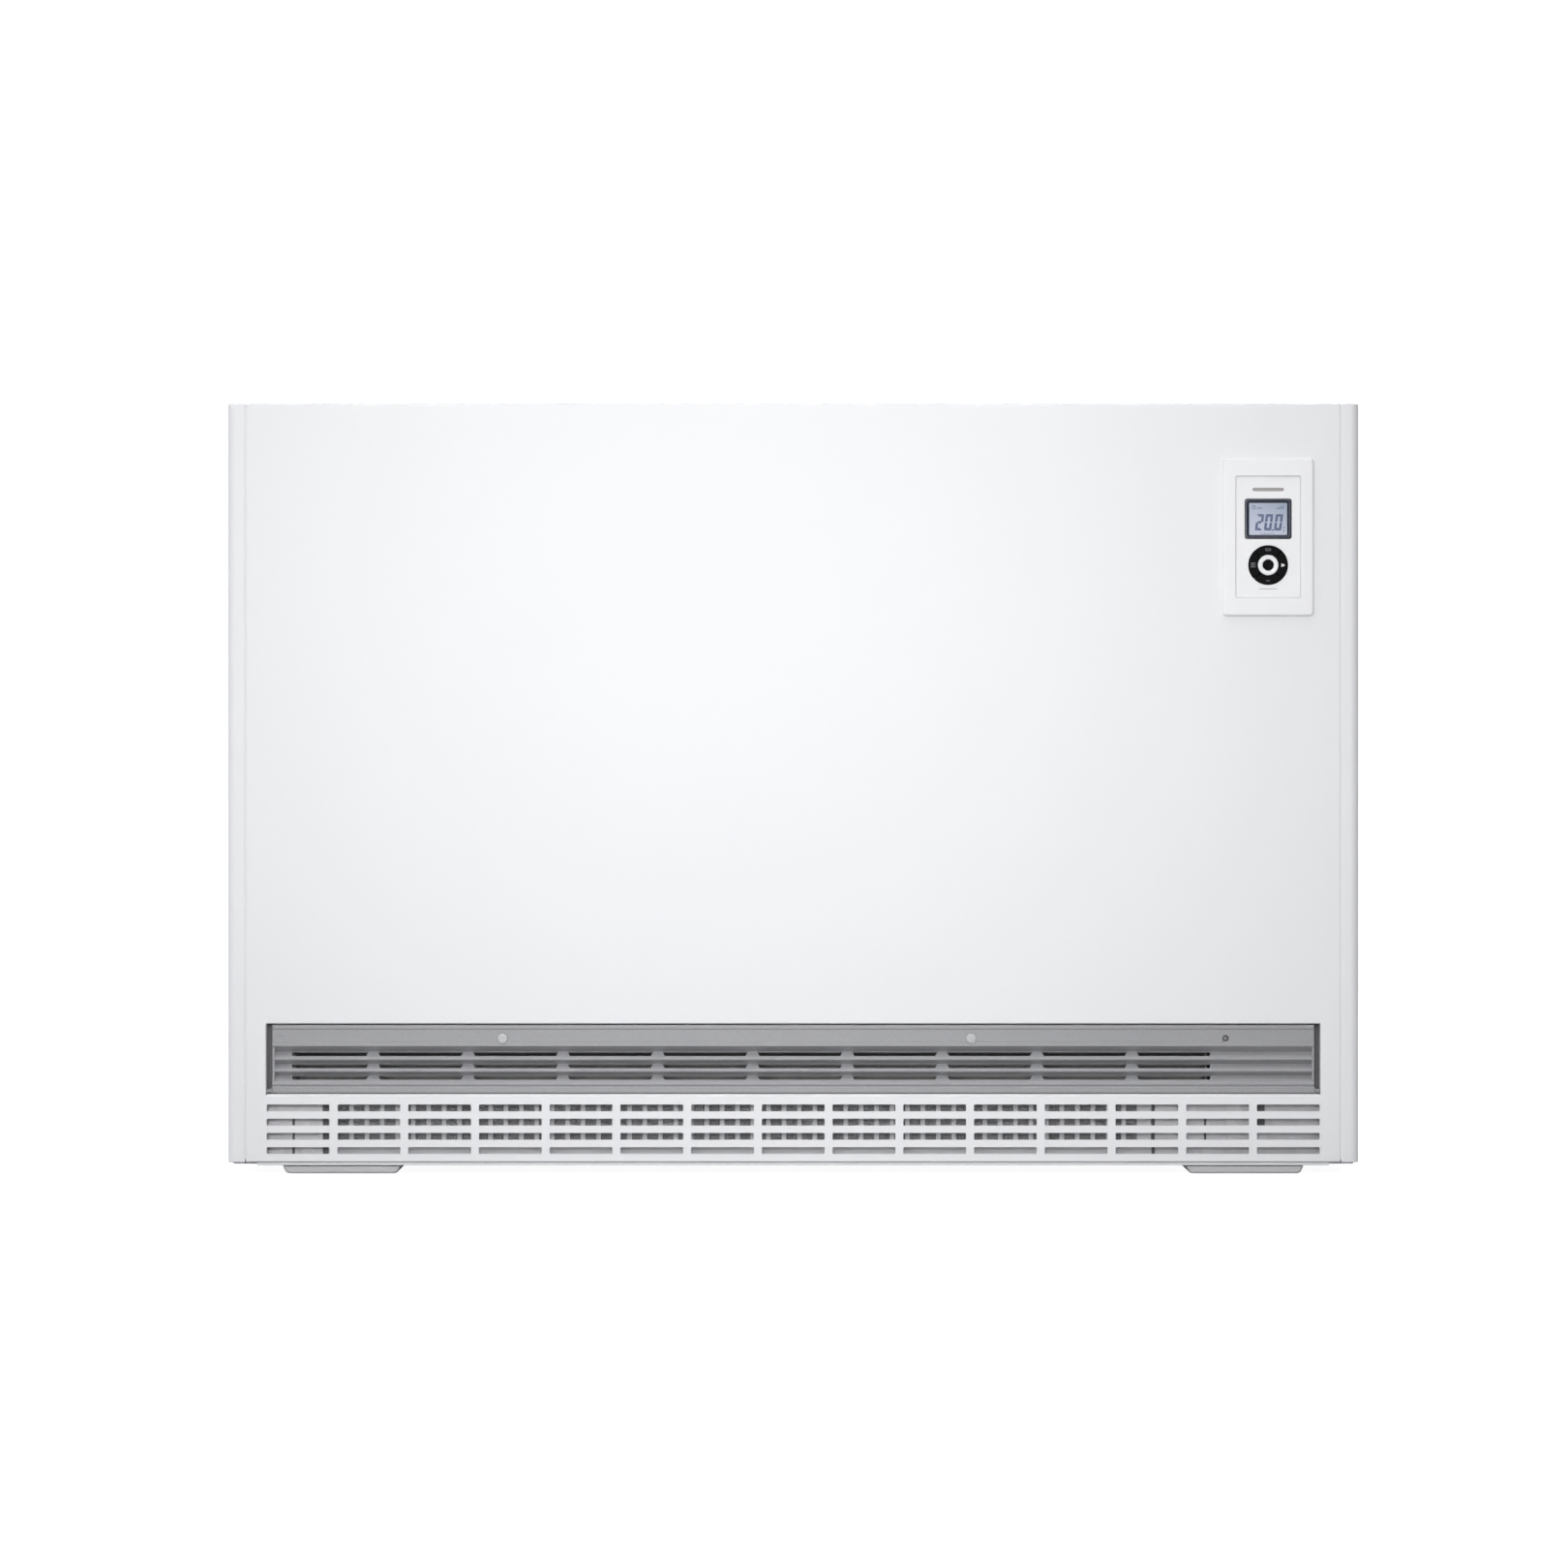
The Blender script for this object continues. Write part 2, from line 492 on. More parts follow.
class Sheet:
    """A surface gathered from strips, grids and filled loops; shared edges are welded when it is made."""

    def __init__(self):
        self.v, self.f = [], []

    def _add(self, points):
        base = len(self.v)
        self.v += [tuple(p) for p in points]
        return base

    def grid(self, rows, closed=False, skip=None):
        """Quads between rows of points of equal length. skip(i, j) leaves out a cell."""
        n, base = len(rows[0]), self._add([p for row in rows for p in row])
        for i in range(len(rows) - 1):
            for j in range(n if closed else n - 1):
                if skip and skip(i, j):
                    continue
                k = (j + 1) % n
                self.f.append((base + i * n + j, base + i * n + k, base + (i + 1) * n + k, base + (i + 1) * n + j))
        return self

    def fill(self, loops):
        """A flat face with holes: loops of 3-D points, the first is the outer one."""
        points = [p for loop in loops for p in loop]
        base = self._add(points)
        if len(loops) == 1:
            for t in tessellate_polygon([[Vector(p) for p in loops[0]]]):
                self.f.append(tuple(base + i for i in t))
            return self
        spread = [max(p[k] for p in points) - min(p[k] for p in points) for k in range(3)]
        u, v = [k for k in range(3) if k != spread.index(min(spread))]
        edges, at = [], 0
        for loop in loops:
            edges += [(at + i, at + (i + 1) % len(loop)) for i in range(len(loop))]
            at += len(loop)
        flat, _, faces, source, _, _ = delaunay_2d_cdt([Vector((p[u], p[v])) for p in points], edges, [], 1, 1e-6)
        holes = []
        for loop in loops[1:]:
            pts = [(p[u], p[v]) for p in loop]
            holes.append((min(q[0] for q in pts), max(q[0] for q in pts), min(q[1] for q in pts), max(q[1] for q in pts), pts))
        for t in faces:
            if not source or any(not source[i] for i in t):
                continue
            cu, cv = sum(flat[i].x for i in t) / 3, sum(flat[i].y for i in t) / 3
            if any(a < cu < b and c < cv < d and inside(pts, cu, cv) for a, b, c, d, pts in holes):
                continue
            self.f.append(tuple(base + source[i][0] for i in t))
        return self

    def shell(self, outer, inner, skip=None):
        """A closed sheet: outer and inner rows of points, with a wall round every left-out cell and rim."""
        m, n = len(outer) - 1, len(outer[0]) - 1
        kept = lambda i, j: 0 <= i < m and 0 <= j < n and not (skip and skip(i, j))
        a = self._add([p for row in outer for p in row])
        b = self._add([p for row in inner for p in row])
        w = n + 1
        for i in range(m):
            for j in range(n):
                if not kept(i, j):
                    continue
                c = [i * w + j, i * w + j + 1, (i + 1) * w + j + 1, (i + 1) * w + j]
                self.f.append(tuple(a + k for k in c))
                self.f.append(tuple(b + k for k in reversed(c)))
                for (di, dj), (p, q) in (((-1, 0), (0, 1)), ((0, 1), (1, 2)), ((1, 0), (2, 3)), ((0, -1), (3, 0))):
                    if not kept(i + di, j + dj):
                        self.f.append((a + c[q], a + c[p], b + c[p], b + c[q]))
        return self

    def merge(self, other):
        base = self._add(other.v)
        self.f += [tuple(base + i for i in face) for face in other.f]
        return self

    def moved(self, matrix):
        out = Sheet()
        out.v = [tuple(matrix @ Vector(p)) for p in self.v]
        out.f = list(self.f)
        return out


def rect(x0, x1, y0, y1):
    return [(x0, y0), (x1, y0), (x1, y1), (x0, y1)]


def circle(cx, cy, r, n=32, phase=0.0):
    return [(cx + r * math.cos(phase + 2 * math.pi * i / n), cy + r * math.sin(phase + 2 * math.pi * i / n)) for i in range(n)]


def rrect(cx, cy, w, h, r, n=5):
    """Rounded rectangle with (n + 1) points a corner, even when r is nearly 0."""
    r = max(r, 0.02)
    out = []
    for sx, sy, start in ((1, -1, -90), (1, 1, 0), (-1, 1, 90), (-1, -1, 180)):
        for i in range(n + 1):
            t = (start + 90 * i / n) * DEG
            out.append((cx + sx * (w / 2 - r) + r * math.cos(t), cy + sy * (h / 2 - r) + r * math.sin(t)))
    return out


def fillet(line, radius, n=4, closed=False):
    """Rounds the corners of a 2-D line. radius is a number or a list with one entry per point."""
    out, count = [], len(line)
    for i, p in enumerate(line):
        r = radius[i] if isinstance(radius, (list, tuple)) else radius
        if (not closed and i in (0, count - 1)) or not r:
            out.append(tuple(p))
            continue
        a, b, c = Vector(line[i - 1]), Vector(p), Vector(line[(i + 1) % count])
        u, v = a - b, c - b
        lu, lv = u.length, v.length
        u.normalize(), v.normalize()
        angle = u.angle(v)
        if angle > math.pi - 0.03:
            out.append(tuple(p))
            continue
        d = min(r / math.tan(angle / 2), lu * 0.49, lv * 0.49)
        rad = d * math.tan(angle / 2)
        centre = b + (u + v).normalized() * (rad / math.sin(angle / 2))
        s, e = b + u * d - centre, b + v * d - centre
        turn = math.atan2(s.x * e.y - s.y * e.x, s.dot(e))
        for k in range(n + 1):
            q = turn * k / n
            out.append((centre.x + s.x * math.cos(q) - s.y * math.sin(q), centre.y + s.x * math.sin(q) + s.y * math.cos(q)))
    return out


LIFT = {
    "x": lambda p, a: (a, p[0], p[1]),  # points are (y, z)
    "y": lambda p, a: (p[0], a, p[1]),  # points are (x, z)
    "z": lambda p, a: (p[0], p[1], a),  # points are (x, y)
}


def plate(axis, loops, a, b):
    """A closed flat plate with holes, from a to b along an axis."""
    s, lift = Sheet(), LIFT[axis]
    for at in (a, b):
        s.fill([[lift(p, at) for p in loop] for loop in loops])
    for loop in loops:
        s.grid([[lift(p, a) for p in loop], [lift(p, b) for p in loop]], closed=True)
    return s


def extrude_line(line, axis, a, b, mids=()):
    """An open 2-D line swept along an axis: one layer."""
    lift = LIFT[axis]
    return Sheet().grid([[lift(p, at) for p in line] for at in (a, *mids, b)])


def box(x0, x1, y0, y1, z0, z1):
    return plate("z", [rect(x0, x1, y0, y1)], z0, z1)


def lathe(profile, n=32, bore=False):
    """A closed turned form along local z: profile of (radius, z) from the bottom centre to the top centre."""
    s = Sheet()
    rows = []
    for r, z in profile:
        rows.append([(max(r, 1e-4) * math.cos(2 * math.pi * i / n), max(r, 1e-4) * math.sin(2 * math.pi * i / n), z) for i in range(n)])
    if bore:
        rows.append(rows[0])
        return s.grid(rows, closed=True)
    s.grid(rows[1:-1] if profile[0][0] == 0 else rows, closed=True)
    for row in (rows[1] if profile[0][0] == 0 else rows[0], rows[-2] if profile[-1][0] == 0 else rows[-1]):
        s.fill([row])
    return s


AIM = {
    "+x": Matrix(((0, 0, 1), (1, 0, 0), (0, 1, 0))).to_4x4(),
    "-x": Matrix(((0, 0, -1), (-1, 0, 0), (0, 1, 0))).to_4x4(),
    "+y": Matrix(((-1, 0, 0), (0, 0, 1), (0, 1, 0))).to_4x4(),
    "-y": Matrix(((1, 0, 0), (0, 0, -1), (0, 1, 0))).to_4x4(),
    "+z": Matrix.Identity(4),
}


def aimed(sheet, direction, x, y, z):
    """Turns a form drawn along local z to point in a direction, with its origin at (x, y, z)."""
    return sheet.moved(Matrix.Translation((x, y, z)) @ AIM[direction])


def tube(path, r, n=12):
    """A round tube along 3-D points, closed at both ends."""
    rows, up = [], Vector((0, 0, 1))
    for i, p in enumerate(path):
        a, b = Vector(path[max(i - 1, 0)]), Vector(path[min(i + 1, len(path) - 1)])
        t = (b - a).normalized()
        side = t.cross(up)
        if side.length < 1e-3:
            side = t.cross(Vector((1, 0, 0)))
        side.normalize()
        top = side.cross(t)
        rows.append([tuple(Vector(p) + r * (math.cos(2 * math.pi * k / n) * side + math.sin(2 * math.pi * k / n) * top)) for k in range(n)])
    s = Sheet().grid(rows, closed=True)
    s.fill([rows[0]])
    s.fill([rows[-1]])
    return s


def mesh_from(sheet, out=None):
    """bmesh of a Sheet in metres, welded. A closed form is turned outwards; an open one so that its
    largest face looks along out."""
    bm = bmesh.new()
    verts = [bm.verts.new((x * MM, y * MM, z * MM)) for x, y, z in sheet.v]
    for face in sheet.f:
        try:
            bm.faces.new([verts[i] for i in face])
        except ValueError:
            pass
    bmesh.ops.remove_doubles(bm, verts=bm.verts, dist=3e-6)
    bmesh.ops.dissolve_degenerate(bm, edges=bm.edges, dist=1e-7)
    bmesh.ops.recalc_face_normals(bm, faces=bm.faces)
    if out:
        bm.normal_update()
        largest = max(bm.faces, key=lambda f: f.calc_area())
        if largest.normal.dot(Vector(out)) < 0:
            bmesh.ops.reverse_faces(bm, faces=bm.faces)
    for f in bm.faces:
        f.smooth = True
    return bm


def make(name, sheet, body, slot, material=None, replaces=(), out=None, thick=0.0, bevel=0.25, segments=2,
         angle=35, cutters=None, weld=True):
    bm = mesh_from(sheet, out)
    raw = bpy.data.meshes.new(name + "_raw")
    bm.to_mesh(raw)
    bm.free()
    work = bpy.data.objects.new(name + "_work", raw)
    bpy.context.scene.collection.objects.link(work)
    extra = []
    if thick:
        m = work.modifiers.new("Solidify", "SOLIDIFY")
        m.thickness = thick * MM
        m.offset = -1
        m.use_even_offset = True
    for c in cutters or []:
        bmc = mesh_from(c)
        cm = bpy.data.meshes.new(name + "_cutter")
        bmc.to_mesh(cm)
        bmc.free()
        co = bpy.data.objects.new(name + "_cutter", cm)
        bpy.context.scene.collection.objects.link(co)
        extra.append(co)
        m = work.modifiers.new("Boolean", "BOOLEAN")
        m.operation, m.solver, m.object = "DIFFERENCE", "EXACT", co
    if bevel:
        m = work.modifiers.new("Bevel", "BEVEL")
        m.width = bevel * MM
        m.segments = segments
        m.limit_method = "ANGLE"
        m.angle_limit = angle * DEG
        m.use_clamp_overlap = True
        m.miter_outer = "MITER_ARC"
    m = work.modifiers.new("WeightedNormal", "WEIGHTED_NORMAL")
    m.mode = "FACE_AREA"
    m.weight = 60
    m.keep_sharp = True
    dg = bpy.context.evaluated_depsgraph_get()
    dg.update()
    mesh = bpy.data.meshes.new_from_object(work.evaluated_get(dg), preserve_all_data_layers=True, depsgraph=dg)
    mesh.name = name
    bpy.data.objects.remove(work)
    bpy.data.meshes.remove(raw)
    for co in extra:
        bpy.data.objects.remove(co)
    mesh.materials.clear()
    mesh.materials.append(material or MATERIAL[slot])
    obj = bpy.data.objects.new(name, mesh)
    bpy.context.scene.collection.objects.link(obj)
    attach(obj, body)
    if replaces:
        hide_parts(*([replaces] if isinstance(replaces, str) else replaces))
    return obj


def dress(node, material, bevel=0.3, segments=2):
    """A carried-over CAD node: procedural material, and broken edges from modifiers."""
    o = NODES[node]
    for i in range(max(1, len(o.data.materials))):
        if i < len(o.data.materials):
            o.data.materials[i] = material
        else:
            o.data.materials.append(material)
    m = o.modifiers.new("Weld", "WELD")
    m.merge_threshold = 2e-6
    m = o.modifiers.new("Flatten", "DECIMATE")
    m.decimate_type = "DISSOLVE"
    m.angle_limit = 0.6 * DEG
    if bevel:
        m = o.modifiers.new("Bevel", "BEVEL")
        m.width = bevel * MM
        m.segments = segments
        m.limit_method = "ANGLE"
        m.angle_limit = 32 * DEG
        m.use_clamp_overlap = True
    m = o.modifiers.new("WeightedNormal", "WEIGHTED_NORMAL")
    m.mode = "FACE_AREA"
    m.keep_sharp = True
    return o


# ------------------------------------------------------------------ main sizes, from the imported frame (mm)
def span(node):
    lo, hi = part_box(node)
    return [v / MM for v in lo], [v / MM for v in hi]


panel_lo, panel_hi = span("front_panel")
side_lo, side_hi = span("right_side_panel")
grille_lo, grille_hi = span("outlet_grille")
bezel_lo, bezel_hi = span("control_bezel")
lid_lo, lid_hi = span("top_panel")
rear_lo, rear_hi = span("rear_panel")
foot_lo, foot_hi = span("right_foot")
filter_lo, filter_hi = span("intake_filter")

YF = panel_lo[1]                       # outer face of the front panel
TOP = panel_hi[2]
T = 1.2                                # casing sheet
CX, CZ = (bezel_lo[0] + bezel_hi[0]) / 2, (bezel_lo[2] + bezel_hi[2]) / 2


# ------------------------------------------------------------------ front panel
def front_panel():
    R, X = 1.5, panel_hi[0]
    z0, z1 = panel_lo[2], TOP
    xi, zl, zh = X - R, z0 + R, z1 - R
    back = -109.8                      # rear edge of the returns
    s = Sheet()
    arc = [(k * 22.5) * DEG for k in range(5)]
    at = lambda pts, y: [(x, y, z) for x, z in pts]
    # flat face with its slots, outlet opening and control hole
    holes = []
    x_first = -7 * 59.7
    for z in (19.6, 31.6, 43.6, 55.6):
        for i in range(15):
            holes.append(rrect(x_first + i * 59.7, z, 53, 5.8, 0.8, 3))
    ro, ox, oz0, oz1 = 1.2, 445.0, 66.2, 126.7
    oc, ow, oh = (oz0 + oz1) / 2, 2 * ox, oz1 - oz0
    lip = lambda d: rrect(0, oc, ow + 2 * d, oh + 2 * d, 1.0 + d, 4)
    holes.append(lip(ro))
    holes.append(rrect(CX, CZ, 70, 126, 2, 4))
    flat = [rect(-xi, xi, zl, zh), *holes]
    s.fill([at(loop, YF) for loop in flat])
    # side returns, then top fold with its hook and bottom return
    for sx in (-1, 1):
        side = [(sx * (xi + R * math.sin(t)), YF + R - R * math.cos(t)) for t in arc] + [(sx * X, back)]
        s.grid([[(x, y, z) for x, y in side] for z in (zl, zh)])
    top = [(YF + R - R * math.cos(t), zh + R * math.sin(t)) for t in arc] + [(back, z1)]
    hook = [(back + 1.2 * math.sin(t), z1 - 1.2 + 1.2 * math.cos(t)) for t in arc[1:]] + [(back + 1.2, z1 - 11)]
    s.grid([[(x, y, z) for y, z in top + hook] for x in (-xi, xi)])
    low = [(YF + R - R * math.cos(t), zl - R * math.sin(t)) for t in arc] + [(-111.5, z0)]
    s.grid([[(x, y, z) for y, z in low] for x in (-xi, xi)])
    # ball corners, carried back as rounded edges
    for sx in (-1, 1):
        for sz, zc, yb in ((1, zh, back), (-1, zl, -111.5)):
            ball = [[(sx * xi + sx * R * math.sin(a) * math.cos(b), YF + R - R * math.cos(a) * math.cos(b), zc + sz * R * math.sin(b)) for b in arc] for a in arc]
            rim = [(sx * xi + sx * R * math.cos(b), YF + R, zc + sz * R * math.sin(b)) for b in arc]
            s.grid(ball)
            s.grid([rim, [(x, yb, z) for x, y, z in rim]])
    # folded lip of the outlet opening, and its end tabs with the pivot holes
    rows = [at(lip(ro * (1 - math.sin(t))), YF + ro * (1 - math.cos(t))) for t in arc]
    s.grid(rows, closed=True)
    ring, n = rows[-1], len(rows[-1])
    for i in range(n):
        a, b = ring[i], ring[(i + 1) % n]
        level = abs(a[2] - b[2]) < 1e-6 and abs(a[0] - b[0]) > 10
        upright = abs(a[0] - b[0]) < 1e-6 and abs(a[2] - b[2]) > 10
        if upright:
            sx = 1 if a[0] > 0 else -1
            lo, hi = min(a[2], b[2]), max(a[2], b[2])
            tab = [(a[1], lo), (-109.5, lo), (-109.5, hi), (a[1], hi)]
            s.fill([[(sx * ox, y, z) for y, z in loop] for loop in (tab, circle(-115.5, 69.4, 2.5, 20))])
        else:
            y = -112.0 if (level and a[2] < oc) else -117.0
            s.grid([[a, b], [(a[0], y, a[2]), (b[0], y, b[2])]])
    return make("front_panel_skin", s, "front_assembly", "white_powder_coat", replaces="front_panel",
                out=(0, -1, 0), thick=T, bevel=0.22, segments=2, angle=50)


front_panel()
# flanges behind the ends of the outlet opening
for side, sx in (("left", -1), ("right", 1)):
    # joined to the collar's end, and stepped back behind the grille so that its lower corner can swing past
    step = [(436.6, -108.7), (443.6, -108.7), (443.6, -109.7), (446.0, -109.7), (446.0, -107.9), (436.6, -107.9)]
    loop = step if sx > 0 else [(-x, y) for x, y in reversed(step)]
    make(f"{side}_outlet_flange", plate("z", [loop], 66.4, 126.4), "front_assembly",
         "zinc_sheet", DULL, bevel=0.15)
# white sill just under the grille
make("outlet_sill", box(-444.2, 444.2, -120.3, -118.7, 65.8, 67.2), "front_assembly", "white_powder_coat", bevel=0.45, segments=3)
# seals in the seams between front and side panels
for side, sx in (("left", -1), ("right", 1)):
    seam = sx * (panel_hi[0] + side_lo[0]) / 2
    half = (side_lo[0] - panel_hi[0]) / 2
    wedge = [(half + 0.33, 0.5), (half + 0.05, 1.0), (half - 0.04, 1.5), (half - 0.04, 4.0)]
    section = [(seam + w, YF + d) for w, d in wedge] + [(seam - w, YF + d) for w, d in reversed(wedge)]
    make(f"{side}_seam_seal", plate("z", [section], 12.5, TOP - 2.0), "front_assembly", "white_powder_coat", bevel=0)


# ------------------------------------------------------------------ side panels, lid, rear panel
def side_panel(sx):
    x0, x1, yr = side_lo[0], side_hi[0], side_hi[1]
    z0, z1, R = side_lo[2], TOP, 1.2
    path = fillet([(x0, -109.5), (x0, YF), (x1, YF), (x1, yr), (x0, yr)], [0, 1.5, 14, 1.8, 0], 8)
    def inward(d):
        pts = []
        for i, p in enumerate(path):
            a, b = path[max(i - 1, 0)], path[min(i + 1, len(path) - 1)]
            v = Vector((b[0] - a[0], b[1] - a[1])).normalized()
            m = Vector((-v.y, v.x))    # left of the path: into the casing
            pts.append((p[0] + m.x * d, p[1] + m.y * d))
        return pts
    s = Sheet()
    rows = []
    for k in range(5):
        t = k * 22.5 * DEG
        rows.append([(x, y, z0 + R - R * math.cos(t)) for x, y in inward(R * (1 - math.sin(t)))])
    bottom = rows[0]
    for k in range(5):
        t = k * 22.5 * DEG
        rows.append([(x, y, z1 - R + R * math.sin(t)) for x, y in inward(R * (1 - math.cos(t)))])
    s.grid(rows)
    s.fill([rows[-1]])
    s.fill([bottom])
    if sx < 0:
        s = s.moved(Matrix.Scale(-1, 4, (1, 0, 0)))
    return make(("left" if sx < 0 else "right") + "_side_skin", s, "carcass", "white_powder_coat",
                replaces=("left" if sx < 0 else "right") + "_side_panel", out=(sx, 0, 0), thick=T, bevel=0.25,
                segments=2, angle=50)


side_panel(1)
side_panel(-1)

section = fillet([(lid_lo[1], TOP - 13), (lid_lo[1], TOP), (lid_hi[1], TOP), (lid_hi[1], TOP - 1.8)], [0, 1.3, 0.5, 0], 4)
lid = extrude_line(section, "x", lid_lo[0], lid_hi[0])
make("lid_skin", lid, "carcass", "white_powder_coat", replaces="top_panel", out=(0, 0, 1), thick=T, bevel=0.35,
     segments=3, angle=50)
fold = plate("y", [rect(lid_lo[0] + 2, lid_hi[0] - 2, TOP - 13, TOP - 1.25)], 107.8, 109)
make("lid_rear_fold", fold, "carcass", "white_powder_coat", bevel=0.3)


def rear_panel():
    x0, x1, z0, z1 = rear_lo[0], rear_hi[0], rear_lo[2], rear_hi[2]
    loops = [rrect(0, (z0 + z1) / 2, x1 - x0, z1 - z0, 2, 3)]
    for i in range(9):
        for x, z in ((-400 + i * 85, 80), (-400 + i * 85, 66), (-340 + i * 85, 618)):
            loops.append(rrect(x, z, 56, 6, 2.95, 5))
    loops.append(circle(410, 120, 15.5, 32))
    for x in (-30, 30):
        loops.append(circle(x, 575, 2.6, 16))
    for sx in (-1, 1):
        for z in (60, 240, 430, 610):
            loops.append(circle(sx * 470.3, z, 1.7, 12))
    make("rear_panel_sheet", plate("y", loops, rear_lo[1], rear_hi[1]), "carcass", "zinc_sheet",
         replaces="rear_panel", bevel=0.22)
    # rolled stiffening beads pressed into the sheet
    for k, x in enumerate((-330, -110, 110, 330)):
        rows = []
        for zz, w in ((175, 0.05), (185, 1.0), (520, 1.0), (530, 0.05)):
            rows.append([(x + 9 * w * math.cos(q * DEG), 110.45 + 1.1 * math.sin(q * DEG) * w, zz) for q in range(0, 181, 15)])
        bead = Sheet().grid(rows)
        bead.grid([[(p[0], 110.2, p[2]) for p in (rows[i][0], rows[i][-1])] for i in range(4)])
        for i in (0, -1):
            bead.fill([rows[i] + [(rows[i][-1][0], 110.2, rows[i][-1][2]), (rows[i][0][0], 110.2, rows[i][0][2])]])
        for i in range(3):
            for e in (0, -1):
                a, b = rows[i][e], rows[i + 1][e]
                bead.f.append(tuple(bead._add([a, b, (b[0], 110.2, b[2]), (a[0], 110.2, a[2])]) + q for q in range(4)))
        make(f"rear_bead_{k + 1}", bead, "carcass", "zinc_sheet", bevel=0)


rear_panel()


# ------------------------------------------------------------------ feet
def foot(side):
    lo, hi = span(side + "_foot")
    cx, y0, y1 = (lo[0] + hi[0]) / 2, lo[1], hi[1]
    mid, half = (y0 + y1) / 2, (y1 - y0) / 2
    levels = [(44.8, 1.8, 0.0), (46.2, 0.8, 0.45), (47.2, 0.25, 1.3), (48.0, 0.0, 2.5), (48.9, 0.0, 4.4), (49.7, 0.0, 6.3)]
    s, rows = Sheet(), []
    for w, d, z in levels:
        rows.append([(x, y, z) for x, y in rrect(cx, mid, 2 * w, 2 * (half - d), 3.0, 5)])
    s.grid(rows, closed=True)
    s.fill([rows[0]])
    make(side + "_foot_tray", s, "carcass", "grey_foot", replaces=side + "_foot", out=(0, 0, -1), thick=1.8, bevel=0.3, angle=50)
    # the two bosses that the base frame rests on
    for k, (a, b) in enumerate(((-80, -60), (70, 90))):
        make(f"{side}_foot_boss_{k + 1}", box(cx - 30, cx + 30, a, b, 1.2, 7.05), "carcass", "grey_foot", bevel=0.6, segments=3)


foot("left")
foot("right")


